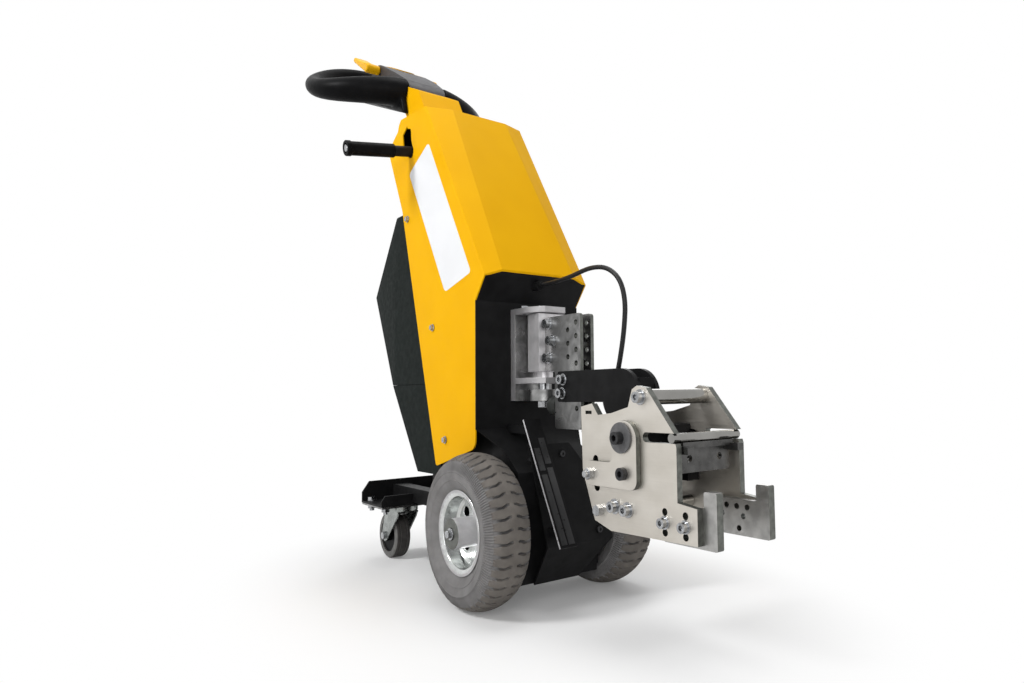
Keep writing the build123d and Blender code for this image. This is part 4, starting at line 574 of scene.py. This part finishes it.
def cable_sheath():
    return finish_of("cable_sheath", (0.0085, 0.0085, 0.009), (0.34, 0.48),
                     spread=0.25, grain=1500.0, depth=0.00003, gloss=0.25, patch=70.0)


def tyre_rubber():
    return finish_of("tyre_rubber", paint().tyre, (0.72, 0.88),
                     spread=0.12, grain=700.0, depth=0.0001, gloss=0.15)


def tread_rubber():
    return finish_of("tread_rubber", paint().tread, (0.75, 0.92),
                     spread=0.16, grain=800.0, depth=0.00014, gloss=0.1)


def castor_rubber(name, color):
    return finish_of(name, color, (0.6, 0.78),
                     spread=0.16, grain=1200.0, depth=0.00006, gloss=0.2, patch=80.0)


def buffer_rubber():
    return finish_of("buffer_rubber", (0.030, 0.032, 0.030), (0.5, 0.66),
                     spread=0.2, grain=1200.0, depth=0.00004, gloss=0.2, patch=80.0)


def brushed_stainless():
    material, shader = new_material("brushed_stainless", (0.60, 0.568, 0.515), 0.4, metallic=1.0)
    if shader:
        clouds = add_noise(material, 14.0, detail=5.0, stretch=(1.0, 1.0, 2.0))
        drive_color(material, shader, clouds, (0.56, 0.528, 0.475), (0.64, 0.608, 0.556))
        streaks = add_noise(material, 40.0, detail=4.0, stretch=(20.0, 0.5, 20.0))
        drive_roughness(material, shader, streaks, 0.36, 0.5)
        drive_bump(material, shader, streaks, 0.00002, 0.5)
    return material


# Dark steel of cut plate edges; on the hooks' front and the hub's end it is laid as painted shade
def cut_edge_and_painted_shade():
    return finish_of("cut_edge_and_painted_shade", (0.135, 0.140, 0.128), (0.34, 0.5),
                     spread=0.2, grain=600.0, depth=0.00008, metallic=1.0, patch=120.0)


# A pale finish laid on the kick bar's edge as a painted highlight
def painted_bar_highlight():
    return finish_of("painted_bar_highlight", (0.62, 0.61, 0.63), (0.3, 0.42),
                     spread=0.08, grain=1200.0, depth=0.00002, metallic=0.4)


def mill_steel():
    return finish_of("mill_steel", (0.40, 0.395, 0.384), (0.3, 0.44),
                     spread=0.16, grain=500.0, depth=0.00008, metallic=1.0, patch=60.0)


def dark_steel():
    return finish_of("dark_steel", (0.085, 0.084, 0.082), (0.24, 0.38),
                     spread=0.25, grain=700.0, depth=0.00004, metallic=0.9, patch=60.0)


def polished_bar():
    return finish_of("polished_bar", (0.27, 0.265, 0.252), (0.1, 0.2),
                     spread=0.06, grain=900.0, depth=0.00001, metallic=1.0)


# Zinc plate, the own finish of the mast and castor plates; on the hitch bracket it is laid as
# painted shade
def zinc_plate_and_painted_shade():
    material, shader = new_material("zinc_plate_and_painted_shade", (0.26, 0.26, 0.257), 0.3, metallic=1.0)
    if shader:
        clouds = add_noise(material, 46.0, detail=6.0, distortion=0.6)
        drive_color(material, shader, clouds, (0.16, 0.16, 0.158), (0.36, 0.36, 0.356), 0.3, 0.7)
        drive_roughness(material, shader, clouds, 0.4, 0.24)
        drive_bump(material, shader, add_noise(material, 420.0, detail=4.0), 0.00004, 0.5)
    return material


def rim_zinc():
    material, shader = new_material("rim_zinc", (0.60, 0.614, 0.606), 0.2, metallic=1.0)
    if shader:
        clouds = add_noise(material, 24.0, detail=5.0, distortion=0.8)
        drive_color(material, shader, clouds, (0.52, 0.535, 0.525), (0.67, 0.682, 0.678))
        drive_roughness(material, shader, add_noise(material, 60.0, detail=4.0), 0.14, 0.26)
        drive_bump(material, shader, add_noise(material, 160.0), 0.00008, 0.4)
    return material


# Pale zinc, the swivel block's own finish; on the bracket's flat faces and the hub's barrel it is
# laid as painted light
def block_zinc_and_painted_light():
    return finish_of("block_zinc_and_painted_light", (0.72, 0.705, 0.72), (0.32, 0.46),
                     spread=0.1, grain=500.0, depth=0.00005, metallic=0.5, patch=50.0)


# Satin zinc, the bracket's and rim lip's own finish; on the swivel block's sides it is laid as
# painted shade
def satin_zinc_and_painted_shade():
    return finish_of("satin_zinc_and_painted_shade", (0.44, 0.432, 0.44), (0.32, 0.46),
                     spread=0.1, grain=500.0, depth=0.00005, metallic=0.5, patch=50.0)


def fork_zinc():
    return finish_of("fork_zinc", (0.285, 0.30, 0.29), (0.2, 0.34),
                     spread=0.2, grain=600.0, depth=0.00004, metallic=1.0, patch=60.0)


def bolt_zinc():
    return finish_of("bolt_zinc", (0.36, 0.366, 0.376), (0.18, 0.3),
                     spread=0.22, grain=900.0, depth=0.00002, metallic=1.0, patch=140.0)


def screw_oxide():
    return finish_of("screw_oxide", (0.035, 0.035, 0.037), (0.36, 0.5),
                     spread=0.2, grain=1500.0, depth=0.00002, metallic=0.7, patch=200.0)


def grey_washer():
    return finish_of("grey_washer", (0.115, 0.115, 0.118), (0.42, 0.58),
                     spread=0.15, grain=1400.0, depth=0.00003, metallic=0.4, gloss=0.3, patch=90.0)


# Tyres
def arc_through(first, middle, last):
    """The arc through three points in a plane, as a function of the share along it."""
    (ax, ay), (bx, by), (cx, cy) = first, middle, last
    area = 2 * (ax * (by - cy) + bx * (cy - ay) + cx * (ay - by))
    aa, bb, cc = ax * ax + ay * ay, bx * bx + by * by, cx * cx + cy * cy
    ux = (aa * (by - cy) + bb * (cy - ay) + cc * (ay - by)) / area
    uy = (aa * (cx - bx) + bb * (ax - cx) + cc * (bx - ax)) / area
    start = math.atan2(ay - uy, ax - ux)
    turn = (math.atan2(cy - uy, cx - ux) - start + math.pi) % (2 * math.pi) - math.pi
    radius = math.hypot(ax - ux, ay - uy)

    def point(share):
        angle = start + turn * share
        return ux + radius * math.cos(angle), uy + radius * math.sin(angle)

    return point


def smooth_step(low, high, value):
    share = min(1.0, max(0.0, (value - low) / (high - low)))
    return share * share * (3 - 2 * share)


def side_wall(first, middle, last, rings, depth):
    """Points up one side of the tyre, with a raised ring at each of the given radii."""
    point = arc_through(first, middle, last)
    places = [step / RING_PLACES for step in range(1, RING_PLACES)]
    raised = {}
    for radius in rings:
        share = min(places, key=lambda place: abs(point(place)[1] - radius))
        for offset, lift in ((-2, 0.0), (-1, depth), (1, depth), (2, 0.0)):
            raised[share + offset * RING_HALF] = lift
    shares = [step / WALL_STEPS for step in range(WALL_STEPS)]
    shares = [share for share in shares if all(abs(share - other) > RING_HALF for other in raised)]
    points = []
    for share in sorted(shares + list(raised)):
        across, radius = point(share)
        points.append((across + raised.get(share, 0.0), radius))
    return points


def tread_drop(across, turn, radius, outer, half):
    """How deep the slit and the fine ribs are at a place across the width and round the wheel."""
    tread = bpy.context.scene.mover_tread
    phase = turn / (2 * math.pi) * tread.lugs
    reach = abs(across)
    inside = smooth_step(tread.rib_half, tread.rib_half + MIDDLE_FLANK, reach)
    on_crown = smooth_step(outer - SLIT_DEPTHS[0], outer - SLIT_DEPTHS[1], radius)
    share = (reach - tread.rib_half) / (half * SHOULDER_ACROSS - tread.rib_half)
    wave = SLIT_STEP * smooth_step(*SLIT_STEP_SPAN, share) - SLIT_LEAN * share
    offset = abs((phase + wave) % 1.0 - 0.5)
    width = SLIT_HALF + SLIT_FLARE * smooth_step(*SLIT_FLARE_SPAN, share)
    groove = 1.0 - smooth_step(width, width + SLIT_FLANK, offset)
    run_out = 1.0 - RUN_OUT * smooth_step(*RUN_OUT_SPAN, share)
    slit = tread.groove_depth * groove * inside * on_crown * run_out
    below = smooth_step(outer - FINE_FOOT[0], outer - FINE_FOOT[1], radius)
    above = 1.0 - smooth_step(outer - FINE_TOP[0], outer - FINE_TOP[1], radius)
    ribs = smooth_step(-FINE_FLANK, FINE_FLANK, math.cos(phase * tread.rib_count * 2 * math.pi))
    return slit, tread.rib_depth * ribs * below * above


def lug_tyre(node):
    """A tyre: one lug is spun from the section, pressed in at its slits and then repeated."""
    tread = bpy.context.scene.mover_tread
    low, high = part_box(node)
    middle = (low + high) / 2
    outer = (high.z - low.z) / 2
    half = (high.x - low.x) / 2 * TYRE_ACROSS
    bead, seat, flange = half * BEAD_ACROSS, outer * SEAT_OUT, outer * FLANGE_OUT
    shoulder = (half * SHOULDER_ACROSS, outer * SHOULDER_OUT)
    bulge = (half, outer * BULGE_OUT)
    rings = [outer * ring for ring in RINGS_OUT]
    side = side_wall((bead, flange), bulge, shoulder, rings, tread.ring_depth)
    crown = arc_through(shoulder, (0.0, outer), (-shoulder[0], shoulder[1]))
    section = [(bead, seat), *side]
    section += [crown(step / CROWN_STEPS) for step in range(CROWN_STEPS + 1)]
    section += [(-across, radius) for across, radius in side[::-1]] + [(-bead, seat)]
    bm = bmesh.new()
    verts = [bm.verts.new((middle.x + across, middle.y, middle.z + radius))
             for across, radius in section]
    edges = [bm.edges.new(pair) for pair in zip(verts, verts[1:])]
    edges.append(bm.edges.new((verts[-1], verts[0])))
    pitch = 2 * math.pi / tread.lugs
    bmesh.ops.spin(bm, geom=verts + edges, cent=middle, axis=(1, 0, 0), angle=pitch,
                   steps=tread.steps)
    for face in bm.faces:
        arm = face.calc_center_median() - middle
        radius = math.hypot(arm.y, arm.z)
        slit = tread_drop(arm.x, math.atan2(arm.y, arm.z), radius, outer, half)[0]
        if radius > outer - TREAD_EDGE and slit < tread.groove_depth * SLIT_SHARE:
            face.material_index = 1
    bm.normal_update()
    for vert in bm.verts:
        arm = vert.co - middle
        across = arm.x
        arm.x = 0.0
        slit, rib = tread_drop(across, math.atan2(arm.y, arm.z), arm.length, outer, half)
        outward = vert.normal if vert.normal.dot(arm) > 0 else -vert.normal
        vert.co -= arm.normalized() * slit + outward * rib
    lug = bm.verts[:] + bm.edges[:] + bm.faces[:]
    bmesh.ops.spin(bm, geom=lug, cent=middle, axis=(1, 0, 0), angle=2 * math.pi - pitch,
                   steps=tread.lugs - 1, use_duplicate=True)
    bmesh.ops.remove_doubles(bm, verts=bm.verts, dist=LUG_MERGE)
    bmesh.ops.recalc_face_normals(bm, faces=bm.faces)
    add_piece(node + "_lugs", bm, [tyre_rubber(), tread_rubber()], body_of(node),
              (node,), smooth_angle=50.0)


# Studio
def seen_rays(nodes, links):
    """One for the rays that show the surroundings: from the camera, reflected and through glass."""
    path = nodes.new("ShaderNodeLightPath")
    seen = path.outputs["Is Camera Ray"]
    for name in ("Is Glossy Ray", "Is Transmission Ray"):
        larger = nodes.new("ShaderNodeMath")
        larger.operation = "MAXIMUM"
        links.new(seen, larger.inputs[0])
        links.new(path.outputs[name], larger.inputs[1])
        seen = larger.outputs["Value"]
    return seen


def pale_floor():
    """White to the eye, darker where the object takes the light, and plain white further off."""
    material = bpy.data.materials.new("pale_floor")
    material.use_nodes = True
    nodes, links = material.node_tree.nodes, material.node_tree.links
    nodes.clear()
    diffuse = nodes.new("ShaderNodeBsdfDiffuse")
    diffuse.inputs["Color"].default_value = (0.8, 0.8, 0.8, 1.0)
    glow = nodes.new("ShaderNodeEmission")
    glow.inputs["Strength"].default_value = FLOOR_GLOW
    near = nodes.new("ShaderNodeAddShader")
    far = nodes.new("ShaderNodeEmission")
    place = nodes.new("ShaderNodeTexCoord")
    oval = nodes.new("ShaderNodeMapping")
    oval.inputs["Location"].default_value = OVAL_SHIFT
    oval.inputs["Scale"].default_value = OVAL_SCALE
    distance = nodes.new("ShaderNodeVectorMath")
    distance.operation = "LENGTH"
    fade = nodes.new("ShaderNodeMapRange")
    fade.interpolation_type = "SMOOTHSTEP"
    fade.inputs["From Min"].default_value, fade.inputs["From Max"].default_value = OVAL_FADE
    shown = nodes.new("ShaderNodeMixShader")
    mixed = nodes.new("ShaderNodeMixShader")
    output = nodes.new("ShaderNodeOutputMaterial")
    links.new(diffuse.outputs["BSDF"], near.inputs[0])
    links.new(glow.outputs["Emission"], near.inputs[1])
    links.new(place.outputs["Object"], oval.inputs["Vector"])
    links.new(oval.outputs["Vector"], distance.inputs[0])
    links.new(distance.outputs["Value"], fade.inputs["Value"])
    links.new(fade.outputs["Result"], shown.inputs["Fac"])
    links.new(near.outputs["Shader"], shown.inputs[1])
    links.new(far.outputs["Emission"], shown.inputs[2])
    links.new(seen_rays(nodes, links), mixed.inputs["Fac"])
    links.new(diffuse.outputs["BSDF"], mixed.inputs[1])
    links.new(shown.outputs["Shader"], mixed.inputs[2])
    links.new(mixed.outputs["Shader"], output.inputs["Surface"])
    return material


def pale_world(scene):
    """White to the camera and in reflections, softer as light."""
    world = bpy.data.worlds.new("pale_world")
    scene.world = world
    world.use_nodes = True
    nodes, links = world.node_tree.nodes, world.node_tree.links
    background = nodes["Background"]
    background.inputs["Color"].default_value = (1.0, 1.0, 1.0, 1.0)
    span = nodes.new("ShaderNodeMapRange")
    span.inputs["To Min"].default_value = WORLD_LIGHT
    span.inputs["To Max"].default_value = 1.0
    links.new(seen_rays(nodes, links), span.inputs["Value"])
    links.new(span.outputs["Result"], background.inputs["Strength"])


def add_light(name, place, target, size, power):
    """A round area lamp, turned to its target."""
    lamp = bpy.data.lights.new(name, "AREA")
    lamp.shape = "DISK"
    lamp.size = size
    lamp.energy = power
    light = bpy.data.objects.new(name, lamp)
    light.location = place
    light.rotation_euler = (Vector(target) - Vector(place)).to_track_quat("-Z", "Y").to_euler()
    bpy.context.scene.collection.objects.link(light)


def add_camera(scene):
    """The camera, placed by its heading, tilt and roll in degrees."""
    heading, tilt, roll = map(math.radians, (CAMERA_HEADING, CAMERA_TILT, CAMERA_ROLL))
    back = Vector((math.sin(heading) * math.cos(tilt), -math.cos(heading) * math.cos(tilt),
                   math.sin(tilt)))
    right = Vector((math.cos(heading), math.sin(heading), 0.0))
    up = back.cross(right)
    turned_right = right * math.cos(roll) + up * math.sin(roll)
    turned_up = up * math.cos(roll) - right * math.sin(roll)
    lens = bpy.data.cameras.new("camera")
    lens.lens = CAMERA_LENS
    lens.sensor_width = 36.0
    lens.shift_x = CAMERA_SHIFT
    lens.clip_end = 200.0
    camera = bpy.data.objects.new("camera", lens)
    rows = Matrix((turned_right, turned_up, back)).transposed().to_4x4()
    camera.matrix_world = Matrix.Translation(CAMERA_PLACE) @ rows
    scene.collection.objects.link(camera)
    scene.camera = camera


# Operators, one for each group of pieces and one for the stage
class MOVER_OT_cowl(bpy.types.Operator):
    """Folded yellow cowl, with the neck that carries the tiller"""
    bl_idname = "mover.cowl"
    bl_label = "Cowl and neck"

    def execute(self, context):
        finish = context.scene.mover_finish
        finish_node("cowl", yellow_coat(), finish.sheet_edge, finish.fold)
        finish_node("neck", yellow_coat(), finish.sheet_edge * 2, finish.fold)
        return {"FINISHED"}


class MOVER_OT_covers(bpy.types.Operator):
    """Rear covers, the panel behind them and the grab on them"""
    bl_idname = "mover.covers"
    bl_label = "Rear covers"

    def execute(self, context):
        finish = context.scene.mover_finish
        for node in ("rear_cover", "rear_housing"):
            finish_node(node, cover_coat(), finish.sheet_edge, finish.fold / 2)
        for node in ("back_panel", "rear_grab"):
            finish_node(node, black_coat(), finish.sheet_edge)
        return {"FINISHED"}


class MOVER_OT_front(bpy.types.Operator):
    """Front panel, guard and kick bar, with the frame and castor tray"""
    bl_idname = "mover.front"
    bl_label = "Front panel and guard"

    def execute(self, context):
        finish = context.scene.mover_finish
        finish_node("front_panel", black_coat(), finish.sheet_edge, finish.fold / 2)
        guard = finish_node("front_guard", black_coat(), finish.sheet_edge, finish.fold / 2)
        # Painted highlight: the guard's right-facing edges get a paler black for the light along
        # them
        second_finish(guard, painted_edge_highlight(), lambda face: abs(face.normal.y) < HIGHLIGHT_FRONT
                      and face.normal.x > HIGHLIGHT_RIGHT)
        for node in ("castor_tray", "base_frame", "upright_frame", "panel_gland"):
            finish_node(node, black_coat(), finish.plate_edge)
        bm = merged_copy("kick_bar")
        sheet = largest_face(bm, lambda face: face.normal.y < -FACING)
        facing = sheet.normal.copy()
        behind = sheet.calc_center_median() - facing * BAR_SHEET
        bmesh.ops.bisect_plane(bm, geom=bm.verts[:] + bm.edges[:] + bm.faces[:], dist=1e-6,
                               plane_co=behind, plane_no=facing)
        round_edges(bm, finish.sheet_edge)
        bar = add_finish("kick_bar", bm, black_coat())
        # Painted highlight: the sheet's left edge gets a pale finish for the light line along it
        second_finish(bar, painted_bar_highlight(), lambda face: face.normal.x < -FACING_WELL
                      and (face.center - behind).dot(facing) > 0)
        finish_node("bar_strips", strip_gloss(), finish.sheet_edge / 3)
        return {"FINISHED"}


class MOVER_OT_inner_drive(bpy.types.Operator):
    """Drive, batteries and controller inside the covers"""
    bl_idname = "mover.inner_drive"
    bl_label = "Inner drive"

    def execute(self, context):
        for node in ("transaxle", "drive_motor"):
            paint_node(node, black_coat())
        paint_node("batteries", black_moulding())
        paint_node("controller", mill_steel())
        return {"FINISHED"}


class MOVER_OT_tiller(bpy.types.Operator):
    """Loop handle, tiller shells, thumb paddles and belly button"""
    bl_idname = "mover.tiller"
    bl_label = "Tiller"

    def execute(self, context):
        finish = context.scene.mover_finish
        moulded("tiller_moulding", ("head_shell", "loop_handle"), black_moulding(), finish.voxel,
                rounds=14)
        console = finish_node("console", grey_moulding(), finish.moulding, finish.moulding * 2,
                              segments=5)
        accent_strip(console)
        moulded("thumb_paddles", ("thumb_rocker",), yellow_moulding(), finish.voxel / 2,
                rounds=8, swell=finish.paddle_swell)
        finish_node("belly_button", black_moulding(), finish.plate_edge)
        return {"FINISHED"}


class MOVER_OT_lever(bpy.types.Operator):
    """Side lever and its grip"""
    bl_idname = "mover.lever"
    bl_label = "Side lever"

    def execute(self, context):
        finish = context.scene.mover_finish
        finish_node("side_lever", black_coat(), finish.plate_edge)
        bm = merged_copy("lever_grip")
        round_edges(bm, finish.plate_edge * 2, segments=4)
        end = largest_face(bm, lambda face: face.normal.x < -FACING_FULLY)
        for thickness, depth in GRIP_END:
            bmesh.ops.inset_region(bm, faces=[end], thickness=thickness, depth=depth,
                                   use_even_offset=True)
        end.material_index = 1
        bmesh.ops.inset_region(bm, faces=[end], thickness=GRIP_SCREW[0], depth=GRIP_SCREW[1],
                               use_even_offset=True)
        for edge in end.edges:
            for face in edge.link_faces:
                face.material_index = 1
        add_finish("lever_grip", bm, black_moulding(), bolt_zinc())
        return {"FINISHED"}


class MOVER_OT_hitch(bpy.types.Operator):
    """Plated hitch bracket, swivel and mast, with the arms and the buffer"""
    bl_idname = "mover.hitch"
    bl_label = "Hitch and mast"

    def execute(self, context):
        finish = context.scene.mover_finish
        mast = finish_node("mast_plates", zinc_plate_and_painted_shade(), finish.plate_edge)
        second_finish(mast, cut_edge_and_painted_shade(), lambda face: abs(face.normal.x) < FACING)
        block = finish_node("swivel_block", block_zinc_and_painted_light(), finish.plate_edge)
        # Painted shade: the block's side faces get the darker satin zinc
        second_finish(block, satin_zinc_and_painted_shade(), lambda face: abs(face.normal.x) > FACING_WELL)
        bracket = finish_node("hitch_bracket", satin_zinc_and_painted_shade(), finish.plate_edge)
        # Painted shade: the back plate's front face gets the darker zinc, for the shadow in front
        # of it
        second_finish(bracket, zinc_plate_and_painted_shade(), lambda face: face.normal.y < -FACING
                      and face.center.y > 0)
        # Painted light: the bracket's faces that point up or down get the paler zinc
        second_finish(bracket, block_zinc_and_painted_light(), lambda face: abs(face.normal.z) > FACING)
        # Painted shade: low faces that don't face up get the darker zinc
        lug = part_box("hitch_bracket")[0].z + LOWER_LUG
        second_finish(bracket, zinc_plate_and_painted_shade(), lambda face: face.center.z < lug
                      and face.normal.z < FACING)
        finish_node("swivel_pin", bolt_zinc(), finish.plate_edge)
        finish_node("buffer", buffer_rubber(), finish.plate_edge)
        for node in ("arms", "carrier"):
            finish_node(node, black_coat(), finish.plate_edge)
        return {"FINISHED"}


class MOVER_OT_coupling(bpy.types.Operator):
    """Stainless coupling head, its hooks, bars and powered latch"""
    bl_idname = "mover.coupling"
    bl_label = "Coupling head"

    def execute(self, context):
        edge = context.scene.mover_finish.plate_edge
        for node in ("head_plates", "link_plates"):
            plate = finish_node(node, brushed_stainless(), edge)
            second_finish(plate, cut_edge_and_painted_shade(), lambda face: abs(face.normal.x) < FACING)
        hooks = finish_node("hooks", mill_steel(), edge)
        # Partly painted shade: the hooks' cut edges get the dark finish only where they face
        # forward
        second_finish(hooks, cut_edge_and_painted_shade(), lambda face: face.normal.y < -FACING)
        for node in ("cross_bars", "actuator_rod"):
            finish_node(node, polished_bar(), edge)
        latch = finish_node("latch", dark_steel(), edge)
        bar_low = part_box("latch")[1].z - LATCH_BAR
        second_finish(latch, polished_bar(), lambda face: face.center.z > bar_low)
        finish_node("actuator", black_moulding(), edge)
        return {"FINISHED"}


class MOVER_OT_fasteners(bpy.types.Operator):
    """Plated bolts, black screws and the grey washers under them"""
    bl_idname = "mover.fasteners"
    bl_label = "Fasteners"

    def execute(self, context):
        edge = context.scene.mover_finish.sheet_edge
        for node in ("mast_bolts", "head_bolts", "castor_axle_left", "castor_axle_right"):
            finish_node(node, bolt_zinc(), edge)
        body = finish_node("body_fasteners", bolt_zinc(), edge)
        guard_low, guard_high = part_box("front_guard")
        second_finish(body, screw_oxide(), lambda face: face.center.y < guard_high.y
                      and face.center.z > guard_low.z
                      and abs(face.center.x) < guard_high.x * GUARD_INNER)
        finish_node("link_screws", screw_oxide(), edge)
        studs = finish_node("link_studs", bolt_zinc(), edge)
        low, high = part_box("link_studs")
        second_finish(studs, grey_washer(), lambda face: face.center.y < (low.y + high.y) / 2)
        return {"FINISHED"}


class MOVER_OT_wheels(bpy.types.Operator):
    """Drive wheels with lugged grey tyres"""
    bl_idname = "mover.wheels"
    bl_label = "Drive wheels"

    def execute(self, context):
        edge = context.scene.mover_finish.plate_edge
        for side, sign in SIDES:
            lug_tyre("tyre_" + side)
            rim = finish_node("rim_" + side, rim_zinc(), edge * 1.5, segments=3)
            low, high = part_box("rim_" + side)
            middle = (low + high) / 2
            hub_end = low.x if sign < 0 else high.x
            lip = hub_end - sign * HUB_PROUD
            # Painted light: the hub's barrel gets the paler zinc so it reads brighter
            second_finish(rim, block_zinc_and_painted_light(), lambda face: abs(face.normal.x) < FACING
                          and (face.center - middle).yz.length < HUB_RADIUS)
            # Painted shade: the hub's end face gets the dark cut-edge finish
            second_finish(rim, cut_edge_and_painted_shade(), lambda face: abs(face.center.x - hub_end) < HUB_NEAR)
            second_finish(rim, satin_zinc_and_painted_shade(), lambda face: abs(face.center.x - lip) < HUB_NEAR
                          and abs(face.normal.x) > LIP_FACING)
            finish_node("axle_shaft_" + side, bolt_zinc(), edge)
        return {"FINISHED"}


class MOVER_OT_castors(bpy.types.Operator):
    """Swivel castors"""
    bl_idname = "mover.castors"
    bl_label = "Castors"

    def execute(self, context):
        edge = context.scene.mover_finish.sheet_edge
        finish_node("castor_plates", zinc_plate_and_painted_shade(), edge)
        rubber = castor_rubber("castor_tread", (0.045, 0.042, 0.040))
        side_rubber = castor_rubber("castor_side", (0.15, 0.147, 0.143))
        for side in ("left", "right"):
            finish_node("castor_fork_" + side, fork_zinc(), edge)
            finish_node("castor_core_" + side, black_moulding(), edge)
            tread = finish_node("castor_tread_" + side, rubber, edge / 2)
            second_finish(tread, side_rubber, lambda face: abs(face.normal.x) > FACING_WELL)
        return {"FINISHED"}


class MOVER_OT_labels(bpy.types.Operator):
    """Blank white labels on the cowl's sides"""
    bl_idname = "mover.labels"
    bl_label = "Labels"

    def execute(self, context):
        finish = context.scene.mover_finish
        low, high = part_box("cowl")
        for side, sign in SIDES:
            face_x = low.x if sign < 0 else high.x
            bm = bmesh.new()
            corners = [bm.verts.new((face_x, y, z)) for y, z in LABEL_CORNERS]
            bm.faces.new(corners)
            bmesh.ops.bevel(bm, geom=corners, offset=finish.label_corner, offset_type="OFFSET",
                            segments=6, profile=0.5, affect="VERTICES", clamp_overlap=True,
                            material=-1)
            raised = bmesh.ops.extrude_face_region(bm, geom=bm.faces[:])
            moved = [item for item in raised["geom"] if isinstance(item, bmesh.types.BMVert)]
            bmesh.ops.translate(bm, verts=moved, vec=(sign * finish.label_thickness, 0, 0))
            bmesh.ops.recalc_face_normals(bm, faces=bm.faces)
            add_piece("label_" + side, bm, [label_film()], body_of("cowl"))
        return {"FINISHED"}


class MOVER_OT_cable(bpy.types.Operator):
    """Cable from the panel to the coupling"""
    bl_idname = "mover.cable"
    bl_label = "Cable"

    def execute(self, context):
        diameter = context.scene.mover_finish.cable_diameter
        curve = bpy.data.curves.new("cable_route", "CURVE")
        curve.dimensions = "3D"
        curve.resolution_u = 12
        spline = curve.splines.new("NURBS")
        spline.points.add(len(CABLE_ROUTE) - 1)
        for point, (y, z) in zip(spline.points, CABLE_ROUTE):
            point.co = (0.0, y, z, 1.0)
        spline.order_u = 3
        spline.use_endpoint_u = True
        route = bpy.data.objects.new("cable_route", curve)
        context.scene.collection.objects.link(route)
        graph = context.evaluated_depsgraph_get()
        line = bpy.data.meshes.new_from_object(route.evaluated_get(graph))
        curve.bevel_depth = diameter / 2
        curve.bevel_resolution = 6
        curve.use_fill_caps = True
        context.view_layer.update()
        graph = context.evaluated_depsgraph_get()
        tube = bpy.data.meshes.new_from_object(route.evaluated_get(graph))
        bpy.data.objects.remove(route)
        tube.materials.clear()
        tube.materials.append(cable_sheath())
        tube.shade_smooth()
        piece = bpy.data.objects.new("cable_sheath", tube)
        context.scene.collection.objects.link(piece)
        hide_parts("cable")
        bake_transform(piece)
        return {"FINISHED"}


class MOVER_OT_stage(bpy.types.Operator):
    """Pale floor, soft light and the camera"""
    bl_idname = "mover.stage"
    bl_label = "Studio"

    def execute(self, context):
        scene = context.scene
        scene.view_settings.view_transform = "Standard"
        bm = bmesh.new()
        bmesh.ops.create_grid(bm, x_segments=1, y_segments=1, size=FLOOR_HALF)
        mesh = bpy.data.meshes.new("floor")
        bm.to_mesh(mesh)
        bm.free()
        floor = bpy.data.objects.new("floor", mesh)
        mesh.materials.append(pale_floor())
        scene.collection.objects.link(floor)
        pale_world(scene)
        for lamp in LAMPS:
            add_light(*lamp)
        add_camera(scene)
        return {"FINISHED"}


class MOVER_PT_panel(bpy.types.Panel):
    """Lists the load mover's pieces and settings"""
    bl_idname = "MOVER_PT_panel"
    bl_label = "Load Mover"
    bl_space_type = "VIEW_3D"
    bl_region_type = "UI"
    bl_category = "Load Mover"

    def draw(self, context):
        column = self.layout.column(align=True)
        for step in STEPS:
            column.operator(step.bl_idname)
        scene = context.scene
        for settings in (scene.mover_paint, scene.mover_tread, scene.mover_finish):
            box = self.layout.box()
            for name in settings.bl_rna.properties.keys():
                if name not in ("rna_type", "name"):
                    box.prop(settings, name)


SETTINGS = (PaintSettings, TreadSettings, FinishSettings)
STEPS = (MOVER_OT_cowl, MOVER_OT_covers, MOVER_OT_front, MOVER_OT_inner_drive, MOVER_OT_tiller,
         MOVER_OT_lever, MOVER_OT_hitch, MOVER_OT_coupling, MOVER_OT_fasteners, MOVER_OT_wheels,
         MOVER_OT_castors, MOVER_OT_labels, MOVER_OT_cable, MOVER_OT_stage)


def register():
    for item in SETTINGS + STEPS + (MOVER_PT_panel,):
        bpy.utils.register_class(item)
    bpy.types.Scene.mover_paint = PointerProperty(type=PaintSettings)
    bpy.types.Scene.mover_tread = PointerProperty(type=TreadSettings)
    bpy.types.Scene.mover_finish = PointerProperty(type=FinishSettings)


def unregister():
    del bpy.types.Scene.mover_finish
    del bpy.types.Scene.mover_tread
    del bpy.types.Scene.mover_paint
    for item in reversed(SETTINGS + STEPS + (MOVER_PT_panel,)):
        bpy.utils.unregister_class(item)


def main():
    register()
    for step in STEPS:
        group, name = step.bl_idname.split(".")
        getattr(getattr(bpy.ops, group), name)()


if __name__ == "__main__":
    main()
